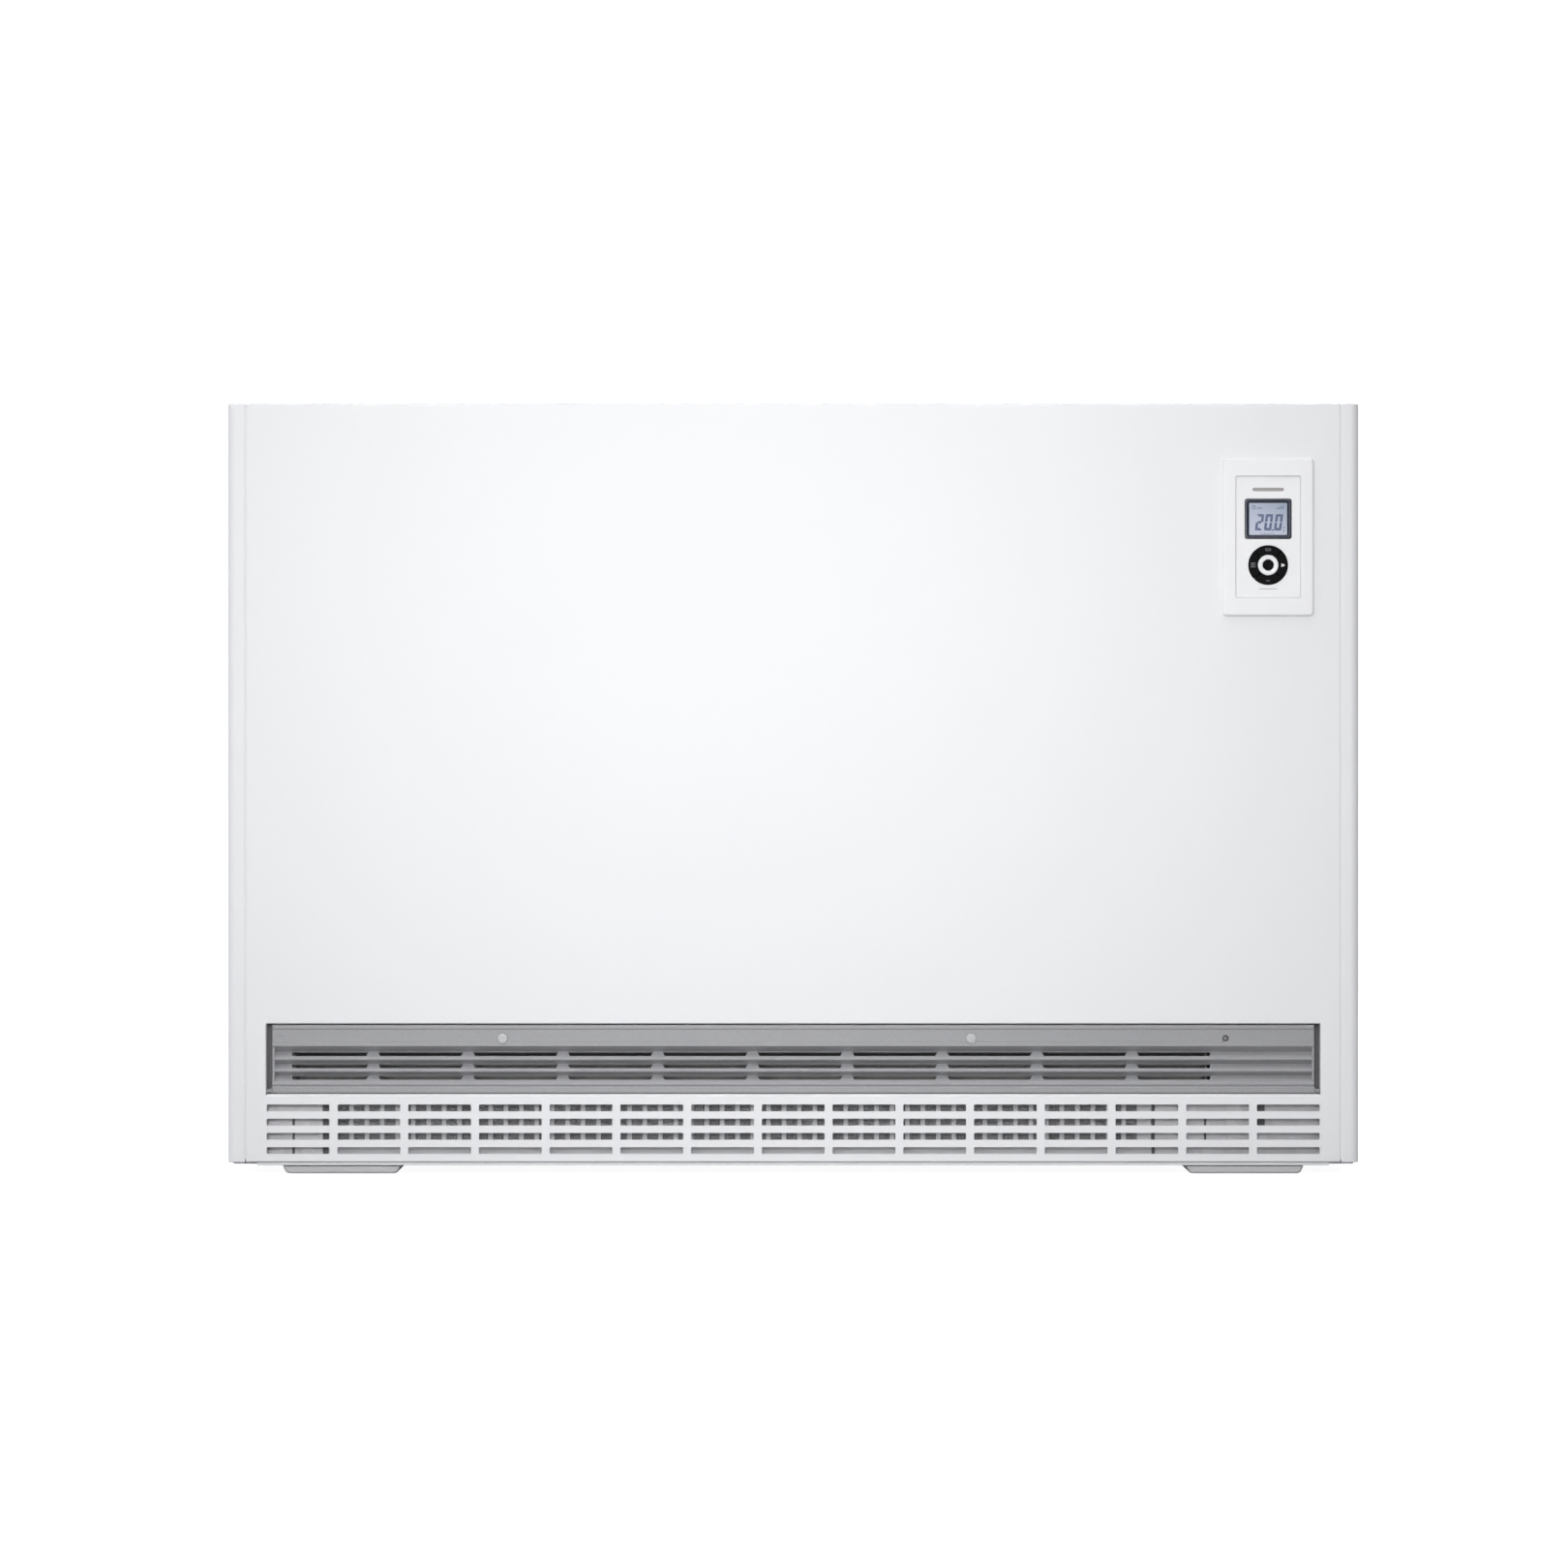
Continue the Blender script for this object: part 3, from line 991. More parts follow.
# ------------------------------------------------------------------ outlet grille
def grille():
    f, b, z0, z1 = -117.5, -111.5, 67.4, 125.7
    ridge, valley = (76.6, 86.4, 96.3, 107.5), (82.7, 92.5, 102.7)
    line, radii = [(f + 7, z0), (f, z0), (f, 72.5), (f + 0.7, 73.0), (f + 0.7, 74.1), (f, 74.9)], [0, 1.0, 0.2, 0.2, 0.2, 0.2]
    marks = {}
    for k in range(3):
        r, v, nxt = ridge[k], valley[k], ridge[k + 1]
        if k == 0:
            line.append((f, r)); radii.append(0.9)
        a = (f + (b - f) * (v - 3.55 - r) / (v - r), v - 3.55)
        c = (f + (b - f) * (v - 0.22 - r) / (v - r), v - 0.22)
        line.append(a); radii.append(0)
        marks[len(line) - 1] = ("low", k)
        line.append(c); radii.append(0)
        line.append((b, v)); radii.append(0.3)
        line.append((f, nxt)); radii.append(1.1 if k < 2 else 0.9)
    line += [(f, 110.7), (f + 0.7, 111.2), (f + 0.7, 121.6), (f + 0.15, 122.3), (f + 0.15, z1), (f + 7, z1)]
    radii += [0.2, 0.2, 0.2, 0.2, 1.0, 0]
    # inner line: each corner of the section moved in by the wall, the same for all points of its rounding
    def mitre(i, t):
        n = []
        for a, c in ((i - 1, i), (i, i + 1)):
            if a < 0 or c >= len(line):
                continue
            d = Vector((line[c][0] - line[a][0], line[c][1] - line[a][1])).normalized()
            n.append(Vector((d.y, -d.x)))
        u = sum(n, Vector((0, 0)))
        m = u * (t / (u.dot(n[0]) if u.dot(n[0]) > 0.3 else 0.3)) if len(n) > 1 else n[0] * t
        return (line[i][0] + m.x, line[i][1] + m.y)

    rounded, inner_line, cell = [], [], {}
    for i, p in enumerate(line):
        part = fillet([line[max(i - 1, 0)], p, line[min(i + 1, len(line) - 1)]], [0, radii[i], 0], 4)[1:-1] if 0 < i < len(line) - 1 else [p]
        if i in marks:
            cell[len(rounded)] = marks[i][1]
        rounded += part
        inner_line += [mitre(i, 1.5)] * len(part)
    ribs = [-355 + i * 80.15 for i in range(9)]
    X = 440.0

    def xs(taper):                     # a rib is 11.8 wide at the lower edge of a slot, 8.6 at its upper edge
        out = [-X, -430.0, -423.0 - 0.8 * taper]
        for r in ribs:
            w = 5.9 - 1.6 * taper
            out += [r - w, r + w]
        return out + [352.0 + 0.8 * taper, 430.0, X]

    rows, rows_in = [], []
    for i, (y, z) in enumerate(rounded):
        taper = 1.0 if any(q < i <= q + 7 for q in cell) else 0.0
        rows.append([(x, y, z) for x in xs(taper)])
        rows_in.append([(x, inner_line[i][0], inner_line[i][1]) for x in xs(taper)])
    slots_between = {2 + 2 * k for k in range(10)}
    s = Sheet().shell(rows, rows_in, skip=lambda i, j: i in cell and j in slots_between)
    make("outlet_grille_front", s, "grille", "silver_grey_coat", replaces="outlet_grille", bevel=0.3, segments=2, angle=48,
         cutters=[aimed(lathe([(0, -4), (2.5, -4), (2.5, 6), (0, 6)], 24), "-y", x, f, 114.1) for x in (-245.5, 150.3)]
         + [aimed(lathe([(0, -4), (2.6, -4), (2.6, 6), (0, 6)], 24), "-y", 365.2, f, 114.1)]
         + [box(x - 8, x + 16, f + 2.4, f + 9, z1 - 3, z1 + 1) for x in (-245.5, 150.3)])   # the tongues turn up here
    for sx in (-1, 1):
        wall = Sheet()
        a, c = sx * (X - 1.8), sx * X
        loop = [(f + 0.9, z0 + 0.5), (f + 8, z0 + 0.5), (f + 8, z1 - 0.5), (f + 0.9, z1 - 0.5)]
        wall.merge(plate("x", [fillet(loop, 1.0, 4, True)], min(a, c), max(a, c)))
        make(("left" if sx < 0 else "right") + "_grille_end", wall, "grille", "silver_grey_coat", bevel=0.3)
        pin = aimed(lathe([(0, 0), (3.4, 0), (3.4, 0.9), (2.0, 1.3), (2.0, 6.6), (1.6, 7.0), (0, 7.0)], 24), "+x" if sx > 0 else "-x", sx * 440, -115.5, 69.4)
        make(("left" if sx < 0 else "right") + "_grille_pivot", pin, "grille", "silver_grey_coat", bevel=0)
    # recessed insert of the transport lock, seen through its hole
    lock = lathe([(0, -5.2), (2.2, -5.2), (2.2, -3.9), (1.7, -3.7), (0, -3.8)], 24)
    make("grille_lock_insert", aimed(lock, "-y", 365.2, f, 114.1), "grille", "silver_grey_coat", bevel=0, cutters=[aimed(box(-1.6, 1.6, -0.35, 0.35, -4.3, 0.0), "-y", 365.2, f, 114.1)])
    # finger recess: a shallow moulded dish at the left end
    dish = rrect(-434, 114.1, 8.6, 5.4, 1.6, 5)
    inner = rrect(-434, 114.1, 6.6, 3.6, 1.0, 5)
    r = Sheet()
    r.grid([[(x, f + 0.78, z) for x, z in dish], [(x, f + 0.30, z) for x, z in dish], [(x, f + 0.42, z) for x, z in inner], [(x, f + 0.95, z) for x, z in inner]], closed=True)
    r.fill([[(x, f + 0.95, z) for x, z in inner]])
    r.fill([[(x, f + 0.78, z) for x, z in dish]])
    make("grille_finger_mark", r, "grille", "silver_grey_coat", bevel=0.1)


grille()


def latch(name, x, body, node):
    f = -117.5
    head = lathe([(0, 0.04), (4.0, 0.04), (4.4, 0.25), (4.4, 0.7), (4.1, 1.05), (3.6, 1.2), (0, 1.25)], 40)
    slot = box(-3.3, 3.3, -0.6, 0.6, 0.45, 3.0)
    shift = lambda sh: aimed(sh, "-y", x, f, 114.1)
    make(name, shift(head), body, "silver_grey_coat", PLATED, replaces=node, bevel=0.12, cutters=[shift(slot)])
    shaft = lathe([(0, -4.2), (1.7, -4.2), (2.0, -3.9), (2.0, 0.3), (0, 0.3)], 24)
    make(name + "_shaft", shift(shaft), body, "steel", bevel=0)
    tongue = plate("y", [fillet([(-3.4, -3.2), (12.4, -3.2), (14.8, -1.4), (14.8, 1.4), (12.4, 3.2), (-3.4, 3.2)], 0.8, 3, True)], f + 2.65, f + 4.15)
    make(name + "_tongue", tongue.moved(Matrix.Translation((x, 0, 114.1))), body, "steel", bevel=0.25)


latch("left_latch_head", -245.5, "latch_left", "grille_latch_left")
latch("right_latch_head", 150.3, "latch_right", "grille_latch_right")


# ------------------------------------------------------------------ control unit
def ring_rows(cx, cz, w, h, r, steps, n=6):
    """Rounded-rectangle loops: steps of (inset from the outer edge, y)."""
    return [[(x, y, z) for x, z in rrect(cx, cz, w - 2 * d, h - 2 * d, max(r - d, 0.25), n)] for d, y in steps]


def bezel():
    w, h = bezel_hi[0] - bezel_lo[0], bezel_hi[2] - bezel_lo[2]
    front = bezel_lo[1]
    R = 1.9
    arc = [k * 18 * DEG for k in range(6)]
    s = Sheet()
    outer = ring_rows(CX, CZ, w, h, 3.2, [(0, YF - 0.25)] + [(R - R * math.cos(t), front + R - R * math.sin(t)) for t in arc])
    s.grid(outer, closed=True)
    r = 0.7
    hole = [[(x, y, z) for x, z in rrect(CX, CZ, 54.6 + 2 * d, 102.6 + 2 * d, 1.4 + d, 6)]
            for d, y in [(r - r * math.sin(t), front + r - r * math.cos(t)) for t in arc] + [(0, YF - 0.72)]]
    s.grid(hole, closed=True)
    s.fill([outer[-1], hole[0]])
    make("bezel_front", s, "front_assembly", "white_plastic", replaces="control_bezel", out=(0, -1, 0), thick=1.6,
         bevel=0.15, angle=60)
    skirt = plate("y", [rrect(CX, CZ, 69, 125, 2, 4), rrect(CX, CZ, 65, 121, 1.5, 4)], YF - 0.6, YF + 9.8)
    make("bezel_skirt", skirt, "front_assembly", "white_plastic", bevel=0.3)


bezel()

DISPLAY = (39.2, 33.5, 32.5, 27.5)
DZ, NZ = CZ + 15.2, CZ - 23.8
plate_front = plate("y", [rrect(CX, CZ, 54, 102, 1.2, 4), rrect(CX, DZ, 39.8, 34.1, 2.3, 5), circle(CX, NZ, 16.8, 64)], YF - 2.0, YF + 0.5)
make("faceplate_front", plate_front, "front_assembly", "white_plastic", replaces="control_faceplate", bevel=0.3, segments=3)
flange = plate("y", [rrect(CX, CZ, 60.4, 108.4, 1.2, 4), rrect(CX, DZ, 40.6, 35, 1.0, 4), circle(CX, NZ, 17.2, 48)], YF - 0.65, YF + 0.8)
make("faceplate_flange", flange, "front_assembly", "white_plastic", bevel=0.2)
for k, (dx, dz) in enumerate(((-26, -50), (26, -50), (-26, 50), (26, 50))):
    boss = aimed(lathe([(1.1, -7.2), (2.4, -7.2), (2.5, 0.0), (1.1, 0.0)], 20, bore=True), "-y", CX + dx, YF + 0.5, CZ + dz)
    make(f"faceplate_boss_{k + 1}", boss, "front_assembly", "white_plastic", bevel=0.1)

s = Sheet()
w, h, ow, oh = DISPLAY
outer = ring_rows(CX, DZ, w, h, 2.1, [(0, YF + 1.0), (0, YF - 1.75), (0.15, YF - 2.0), (0.4, YF - 2.1)], 5)
s.grid(outer, closed=True)
inner = [[(x, y, z) for x, z in rrect(CX, DZ, ow + 2 * d, oh + 2 * d, 0.8 + d, 5)] for d, y in ((1.75, YF - 2.1), (1.55, YF - 2.05), (0.1, YF - 1.38), (0, YF - 1.2), (0, YF + 1.0))]
s.grid(inner, closed=True)
s.fill([outer[-1], inner[0]])
s.fill([outer[0], inner[-1]])
make("display_surround", s, "front_assembly", "navy_plastic", replaces="display_frame", bevel=0)
make("display_surround_flange", plate("y", [rrect(CX, DZ, 44, 38, 1, 4), rrect(CX, DZ, ow + 0.1, oh + 0.1, 0.8, 4)], YF + 0.9, YF + 2.3), "front_assembly", "navy_plastic", bevel=0.2)

make("display_pane", plate("y", [rrect(CX, DZ, ow - 0.6, oh - 0.6, 0.6, 4)], YF - 1.3, YF + 2.9), "front_assembly", "display", replaces="display_module", bevel=0.15)
make("display_carrier", plate("y", [rrect(CX, DZ, 41, 36, 1.0, 4)], YF + 2.85, YF + 6.6), "front_assembly", "display", PRINT_WHITE, bevel=0.4)

# symbols on the pane: generic figures only
LEAN = 0.13
def segment(points, z_mid):
    return [(x + (z - z_mid) * LEAN, z) for x, z in points]


def digit(cx, cz, w, h, lit, t=2.2, gap=0.15):
    """Seven-segment figure, leaning right."""
    out = []
    hw, hh = w / 2, h / 2
    bars = {
        "a": [(-hw + gap, hh), (hw - gap, hh), (hw - t, hh - t), (-hw + t, hh - t)],
        "d": [(-hw + t, -hh + t), (hw - t, -hh + t), (hw - gap, -hh), (-hw + gap, -hh)],
        "g": [(-hw + t * 0.55, 0), (-hw + t, t / 2), (hw - t, t / 2), (hw - t * 0.55, 0), (hw - t, -t / 2), (-hw + t, -t / 2)],
        "f": [(-hw, hh - gap), (-hw + t, hh - t - gap * 0.4), (-hw + t, t * 0.22 + gap), (-hw, gap)],
        "e": [(-hw, -gap), (-hw + t, -t * 0.22 - gap), (-hw + t, -hh + t + gap * 0.4), (-hw, -hh + gap)],
        "b": [(hw - t, hh - t - gap * 0.4), (hw, hh - gap), (hw, gap), (hw - t, t * 0.22 + gap)],
        "c": [(hw - t, -t * 0.22 - gap), (hw, -gap), (hw, -hh + gap), (hw - t, -hh + t + gap * 0.4)],
    }
    for k in lit:
        out.append([(cx + x + (z * LEAN), cz + z) for x, z in bars[k]])
    return out


def flat_marks(name, loops, body, y, material, slot="display", depth=0.05):
    s = Sheet()
    for loop in loops:
        many = loop if isinstance(loop[0], list) else [loop]
        s.merge(plate("y", many, y - depth, y + 0.02))
    return make(name, s, body, slot, material, bevel=0)


pane_y = YF - 1.3
left, low = CX - ow / 2, DZ - oh / 2
dz_mid = low + 4.0 + 6.9
figures = digit(left + 9.0, dz_mid, 6.3, 13.8, "abged") + digit(left + 16.6, dz_mid, 6.3, 13.8, "abcdef") + digit(left + 25.0, dz_mid, 6.3, 13.8, "abcdef")
figures.append(circle(left + 20.0, low + 4.3, 0.8, 12))
flat_marks("display_figures", figures, "front_assembly", pane_y, INK_DARK)
small = []
# top row: a clock ring with hands at the left, a bar meter at the right; scale ticks along the bottom
small.append([circle(left + 4.2, low + 23.6, 1.75, 20), circle(left + 4.2, low + 23.6, 1.25, 20)])
small.append(rect(left + 4.0, left + 4.4, low + 23.6, low + 24.7))
small.append(rect(left + 4.2, left + 5.1, low + 23.4, low + 23.8))
for i in range(3):
    small.append(rect(left + 7.2 + i * 1.5, left + 8.2 + i * 1.5, low + 22.2, low + 23.4))
for i in range(4):
    small.append(rect(left + 23.2 + i * 1.7, left + 24.3 + i * 1.7, low + 21.9, low + 22.8 + 0.8 * i))
small.append([circle(left + 29.6, low + 6.6, 0.95, 16), circle(left + 29.6, low + 6.6, 0.5, 16)])
small.append(rect(left + 29.2, left + 30.0, low + 2.4, low + 4.9))
for i in range(5):
    small.append(rect(left + 10.6 + i * 2.6, left + 11.0 + i * 2.6, low + 1.2, low + 2.1))
small.append(rect(left + 10.6, left + 21.4, low + 0.9, low + 1.15))
flat_marks("display_symbols", small, "front_assembly", pane_y, INK_SOFT)
# plain dashes in place of printed wording
flat_marks("faceplate_dash", [rrect(CX, CZ + 40.0, 26.5, 2.9, 1.3, 4)], "front_assembly", YF - 2.0, PRINT_PALE, "white_plastic", 0.04)
flat_marks("faceplate_small_dash", [rrect(CX, CZ - 43.9, 15.5, 0.9, 0.4, 4)], "front_assembly", YF - 2.0, print_ink("print_faint", (0.60, 0.60, 0.61)), "white_plastic", 0.04)


def key(name, centre_angle, body, node):
    r0, r1, y0, y1 = 8.95, 16.45, YF - 2.6, YF + 1.5
    n, half = 16, math.pi / 4
    def loop(i, o, cut_):
        a = [centre_angle - half + cut_ / o + (2 * half - 2 * cut_ / o) * k / n for k in range(n + 1)]
        b = [centre_angle + half - cut_ / i - (2 * half - 2 * cut_ / i) * k / n for k in range(n + 1)]
        return [(CX + o * math.cos(t), NZ + o * math.sin(t)) for t in a] + [(CX + i * math.cos(t), NZ + i * math.sin(t)) for t in b]
    s = Sheet()
    steps = [(0.0, y1), (0.0, y0 + 0.55), (0.08, y0 + 0.25), (0.28, y0 + 0.06), (0.6, y0)]
    rows = [[(x, y, z) for x, z in loop(r0 + d, r1 - d, 0.4 + d)] for d, y in steps]
    s.grid(rows, closed=True)
    s.fill([rows[0]])
    s.fill([rows[-1]])
    make(name, s, body, "black_plastic", replaces=node, bevel=0)
    flange = plate("y", [[(CX + (x - CX), z) for x, z in loop(r0, 17.7, 0.4)]], YF + 1.2, YF + 2.1)
    make(name + "_flange", flange, body, "black_plastic", bevel=0.12)
    stem = aimed(lathe([(0, -2.8), (1.4, -2.8), (1.6, -2.5), (1.6, 0.1), (0, 0.1)], 20), "-y", CX + 12.7 * math.cos(centre_angle), YF + 2.0, NZ + 12.7 * math.sin(centre_angle))
    make(name + "_stem", stem, body, "black_plastic", bevel=0)


key("up_key", math.pi / 2, "key_up", "nav_key_up")
key("down_key", -math.pi / 2, "key_down", "nav_key_down")
key("left_key", math.pi, "key_left", "nav_key_left")
key("right_key", 0.0, "key_right", "nav_key_right")
mark_y = YF - 2.6
flat_marks("up_key_mark", [[rrect(CX, NZ + 13.0, 4.6, 2.0, 0.6, 3), rrect(CX, NZ + 13.0, 3.7, 1.1, 0.3, 3)]], "key_up", mark_y, PRINT_GREY, "black_plastic")
flat_marks("left_key_mark", [rrect(CX - 12.6, NZ + d, 4.4, 0.75, 0.3, 3) for d in (-1.5, 0.0, 1.5)], "key_left", mark_y, PRINT_GREY, "black_plastic")
flat_marks("right_key_mark", [fillet([(CX + 11.0, NZ - 1.9), (CX + 15.0, NZ - 0.1), (CX + 11.0, NZ + 1.7)], 0.5, 3, True)], "key_right", mark_y, PRINT_WHITE, "black_plastic")
flat_marks("down_key_mark", [rrect(CX, NZ - 13.2, 3.6, 0.6, 0.25, 3)], "key_down", mark_y, PRINT_GREY, "black_plastic")

collar = lathe([(4.7, -7.7), (8.6, -7.7), (8.6, 2.3), (8.45, 2.6), (8.1, 2.81), (7.4, 2.9), (5.6, 2.75), (5.0, 2.62), (4.75, 2.3), (4.7, 2.0)], 64, bore=True)
make("collar_ring", aimed(collar, "-y", CX, YF - 0.0, NZ).moved(Matrix.Identity(4)), "front_assembly", "white_plastic", replaces="nav_collar", bevel=0)
cap = lathe([(0, -2.0), (4.3, -2.0), (4.3, 2.1), (4.15, 2.4), (3.8, 2.58), (3.0, 2.55), (1.6, 2.42), (0, 2.38)], 48)
make("ok_cap", aimed(cap, "-y", CX, YF, NZ), "ok_key", "black_plastic", replaces="ok_button", bevel=0)
stem = lathe([(0, -4.7), (1.4, -4.7), (1.6, -4.4), (1.6, -1.9), (0, -1.9)], 20)
make("ok_stem", aimed(stem, "-y", CX, YF, NZ), "ok_key", "black_plastic", bevel=0)

# board behind the keys, with its switches, driver and connectors
make("key_board", plate("y", [rrect(CX, CZ, 56, 114, 1.5, 4)], YF + 8.0, YF + 9.6), "front_assembly", "circuit_board", replaces="control_board", bevel=0.15)
chips = [(0, NZ - CZ + 12.7), (0, NZ - CZ - 12.7), (12.7, NZ - CZ), (-12.7, NZ - CZ), (0, NZ - CZ)]
for k, (dx, dz) in enumerate(chips):
    make(f"key_switch_{k + 1}", plate("y", [rrect(CX + dx, CZ + dz, 5, 5, 0.4, 3)], YF + 6.2, YF + 8.05), "front_assembly", "steel", bevel=0.2)
    make(f"key_switch_{k + 1}_plunger", aimed(lathe([(0, 0), (1.5, 0), (1.5, 0.4), (1.3, 0.5), (0, 0.5)], 20), "-y", CX + dx, YF + 6.2, CZ + dz), "front_assembly", "black_plastic", bevel=0)
make("key_board_chip", plate("y", [rrect(CX, CZ + 2, 16, 16, 0.3, 2)], YF + 9.6, YF + 11.2), "front_assembly", "black_plastic", bevel=0.2)
make("key_board_socket", plate("y", [rrect(CX - 15, CZ - 48, 14, 8, 0.5, 3)], YF + 9.6, YF + 14), "front_assembly", "white_plastic", bevel=0.4)
make("key_board_cell", plate("y", [rrect(CX + 18, CZ + 30, 8, 20, 2, 4)], YF + 9.6, YF + 12), "front_assembly", "aluminium", bevel=0.3)
pins = Sheet()
for i in range(8):
    for sx in (-1, 1):
        pins.merge(plate("y", [rect(CX + sx * 8.0 - (0 if sx > 0 else 1.6), CX + sx * 8.0 + (1.6 if sx > 0 else 0), CZ - 5.2 + i * 2.0, CZ - 4.5 + i * 2.0)], YF + 9.62, YF + 9.95))
make("key_board_pins", pins, "front_assembly", "steel", bevel=0)


# ------------------------------------------------------------------ intake filter
def intake_filter():
    x0, x1, z0, z1 = filter_lo[0], filter_hi[0], filter_lo[2], filter_hi[2]
    y0, y1 = filter_lo[1], filter_hi[1]
    start, pitch, rib = x0 + 8.1, 13.07, 4.0
    loops = [rrect((x0 + x1) / 2, (z0 + z1) / 2, x1 - x0, z1 - z0, 1.5, 3)]
    count = int((x1 - x0 - 8.1) / pitch)
    for i in range(count):
        a, b = start + i * pitch, start + (i + 1) * pitch - rib
        loops.append(rrect((a + b) / 2, (26.4 + 59.4) / 2, b - a, 59.4 - 26.4, 0.8, 3))
    s = plate("y", loops, y0, y0 + 1.6)
    make("filter_grid", s, "filter", "grey_plastic", replaces="intake_filter", bevel=0.3)
    for k, (a, b) in enumerate(((z0, z0 + 2), (z1 - 2, z1))):
        make(f"filter_rail_{k + 1}", plate("y", [rrect((x0 + x1) / 2, (a + b) / 2, x1 - x0, 2, 0.5, 3)], y0 + 0.2, y1), "filter", "grey_plastic", bevel=0.25)
    # gauze behind the windows
    g = Sheet()
    yg, half = y0 + 1.95, 0.22
    x = start - 1
    while x < start + count * pitch:
        g.merge(box(x - half, x + half, yg - half, yg + half, 25.6, 60.0))
        x += 1.32
    z = 26.6
    while z < 60:
        g.merge(box(start - 1.4, start + count * pitch - 2, yg - half, yg + half, z - half, z + half))
        z += 1.32
    make("filter_gauze_net", g, "filter", "grey_plastic", GAUZE, bevel=0)


intake_filter()


# strips behind the gaps and cut-outs of the closing plates beside the filter
for k, (a, b, c, d) in enumerate(((-404, filter_lo[0] - 0.6, 13.2, 63), (filter_hi[0] + 0.6, 312, 13.2, 63), (-428, -417, 13.2, 52), (343, 354, 24, 50), (386, 403, 36, 62))):
    make(f"intake_backing_{k + 1}", plate("y", [rrect((a + b) / 2, (c + d) / 2, b - a, d - c, 0.6, 2)], -106.9, -106.1), "carcass",
         "zinc_sheet", DULL, bevel=0.15)


# ------------------------------------------------------------------ screws
def screw(name, x, y, z, direction, body, r=3.6, slot="steel"):
    head = lathe([(0, -0.2), (r, -0.2), (r, 0.5), (r * 0.93, 1.1), (r * 0.72, 1.65), (r * 0.38, 1.95), (0, 2.05)], 32)
    star = [(0.62 * r * (1 if k % 2 == 0 else 0.58) * math.cos(k * 30 * DEG), 0.62 * r * (1 if k % 2 == 0 else 0.58) * math.sin(k * 30 * DEG)) for k in range(12)]
    recess = plate("z", [fillet(star, 0.12 * r, 2, True)], 0.7, 3.5)
    make(name, aimed(head, direction, x, y, z), body, slot, bevel=0, cutters=[aimed(recess, direction, x, y, z)])


for side, sx in (("left", -1), ("right", 1)):
    for k, z in enumerate((60, 240, 430, 610)):
        screw(f"rear_screw_{side}_{k + 1}", sx * 470.3, rear_hi[1] + 1.6, z, "+y", "carcass")
for k, x in enumerate((-30, 30)):
    screw(f"bracket_screw_{k + 1}", x, 112.9, 575, "+y", "carcass", 4.0)

# wall bracket: stepped sheet with rounded bends
section = fillet([(110.8, 556), (110.8, 594), (123, 594), (123, 640), (125, 640), (125, 592), (112.8, 592), (112.8, 556)],
                 [0, 2.8, 0.8, 0, 0, 2.8, 0.8, 0], 5, True)
holes = [plate("y", [circle(x, 575, 2.7, 20)], 105, 130) for x in (-30, 30)]
holes += [plate("y", [rrect(x, 618, 16, 8.6, 4.2, 6)], 105, 130) for x in (-55, 55)]
make("wall_bracket_sheet", plate("x", [section], -75, 75), "carcass", "zinc_sheet", replaces="wall_bracket",
     bevel=0.3, angle=50, cutters=holes)


# ------------------------------------------------------------------ heating elements
def element(name, node, z):
    ya, yb, bend, end = -25.0, 27.0, -340.0, 366.0
    r, mid = (yb - ya) / 2, (ya + yb) / 2
    path = [(end, ya, z)] + [(bend - r * math.sin(q * math.pi / 20), mid - r * math.cos(q * math.pi / 20), z) for q in range(21)] + [(end, yb, z)]
    make(name, tube(path, 4.25, 16), "carcass", "steel", ALLOY, replaces=node, bevel=0)
    for k, y in enumerate((ya, yb)):
        collar_ = lathe([(0, 0), (5.0, 0), (5.6, 0.6), (5.6, 10.4), (5.2, 11.4), (3.4, 11.8), (3.4, 13.2), (0, 13.2)], 24)
        make(f"{name}_seal_{k + 1}", aimed(collar_, "+x", 357.6, y, z), "carcass", "beige_thermoset", bevel=0)
        stud = lathe([(0, 0), (1.6, 0), (1.6, 4.0), (0, 4.0)], 16)
        make(f"{name}_stud_{k + 1}", aimed(stud, "+x", 370.6, y, z), "carcass", "steel", bevel=0)
        tab = plate("z", [fillet([(373.6, y - 3.15), (381, y - 3.15), (384, y - 1.6), (384, y + 1.6), (381, y + 3.15), (373.6, y + 3.15)], 0.4, 2, True), circle(380.2, y, 0.9, 12)], z - 0.4, z + 0.4)
        make(f"{name}_tab_{k + 1}", tab, "carcass", "steel", bevel=0.12)


for nm, z in (("lower", 272.35), ("middle", 372.45), ("upper", 472.55)):
    element(nm + "_element", "heating_element_" + nm, z)


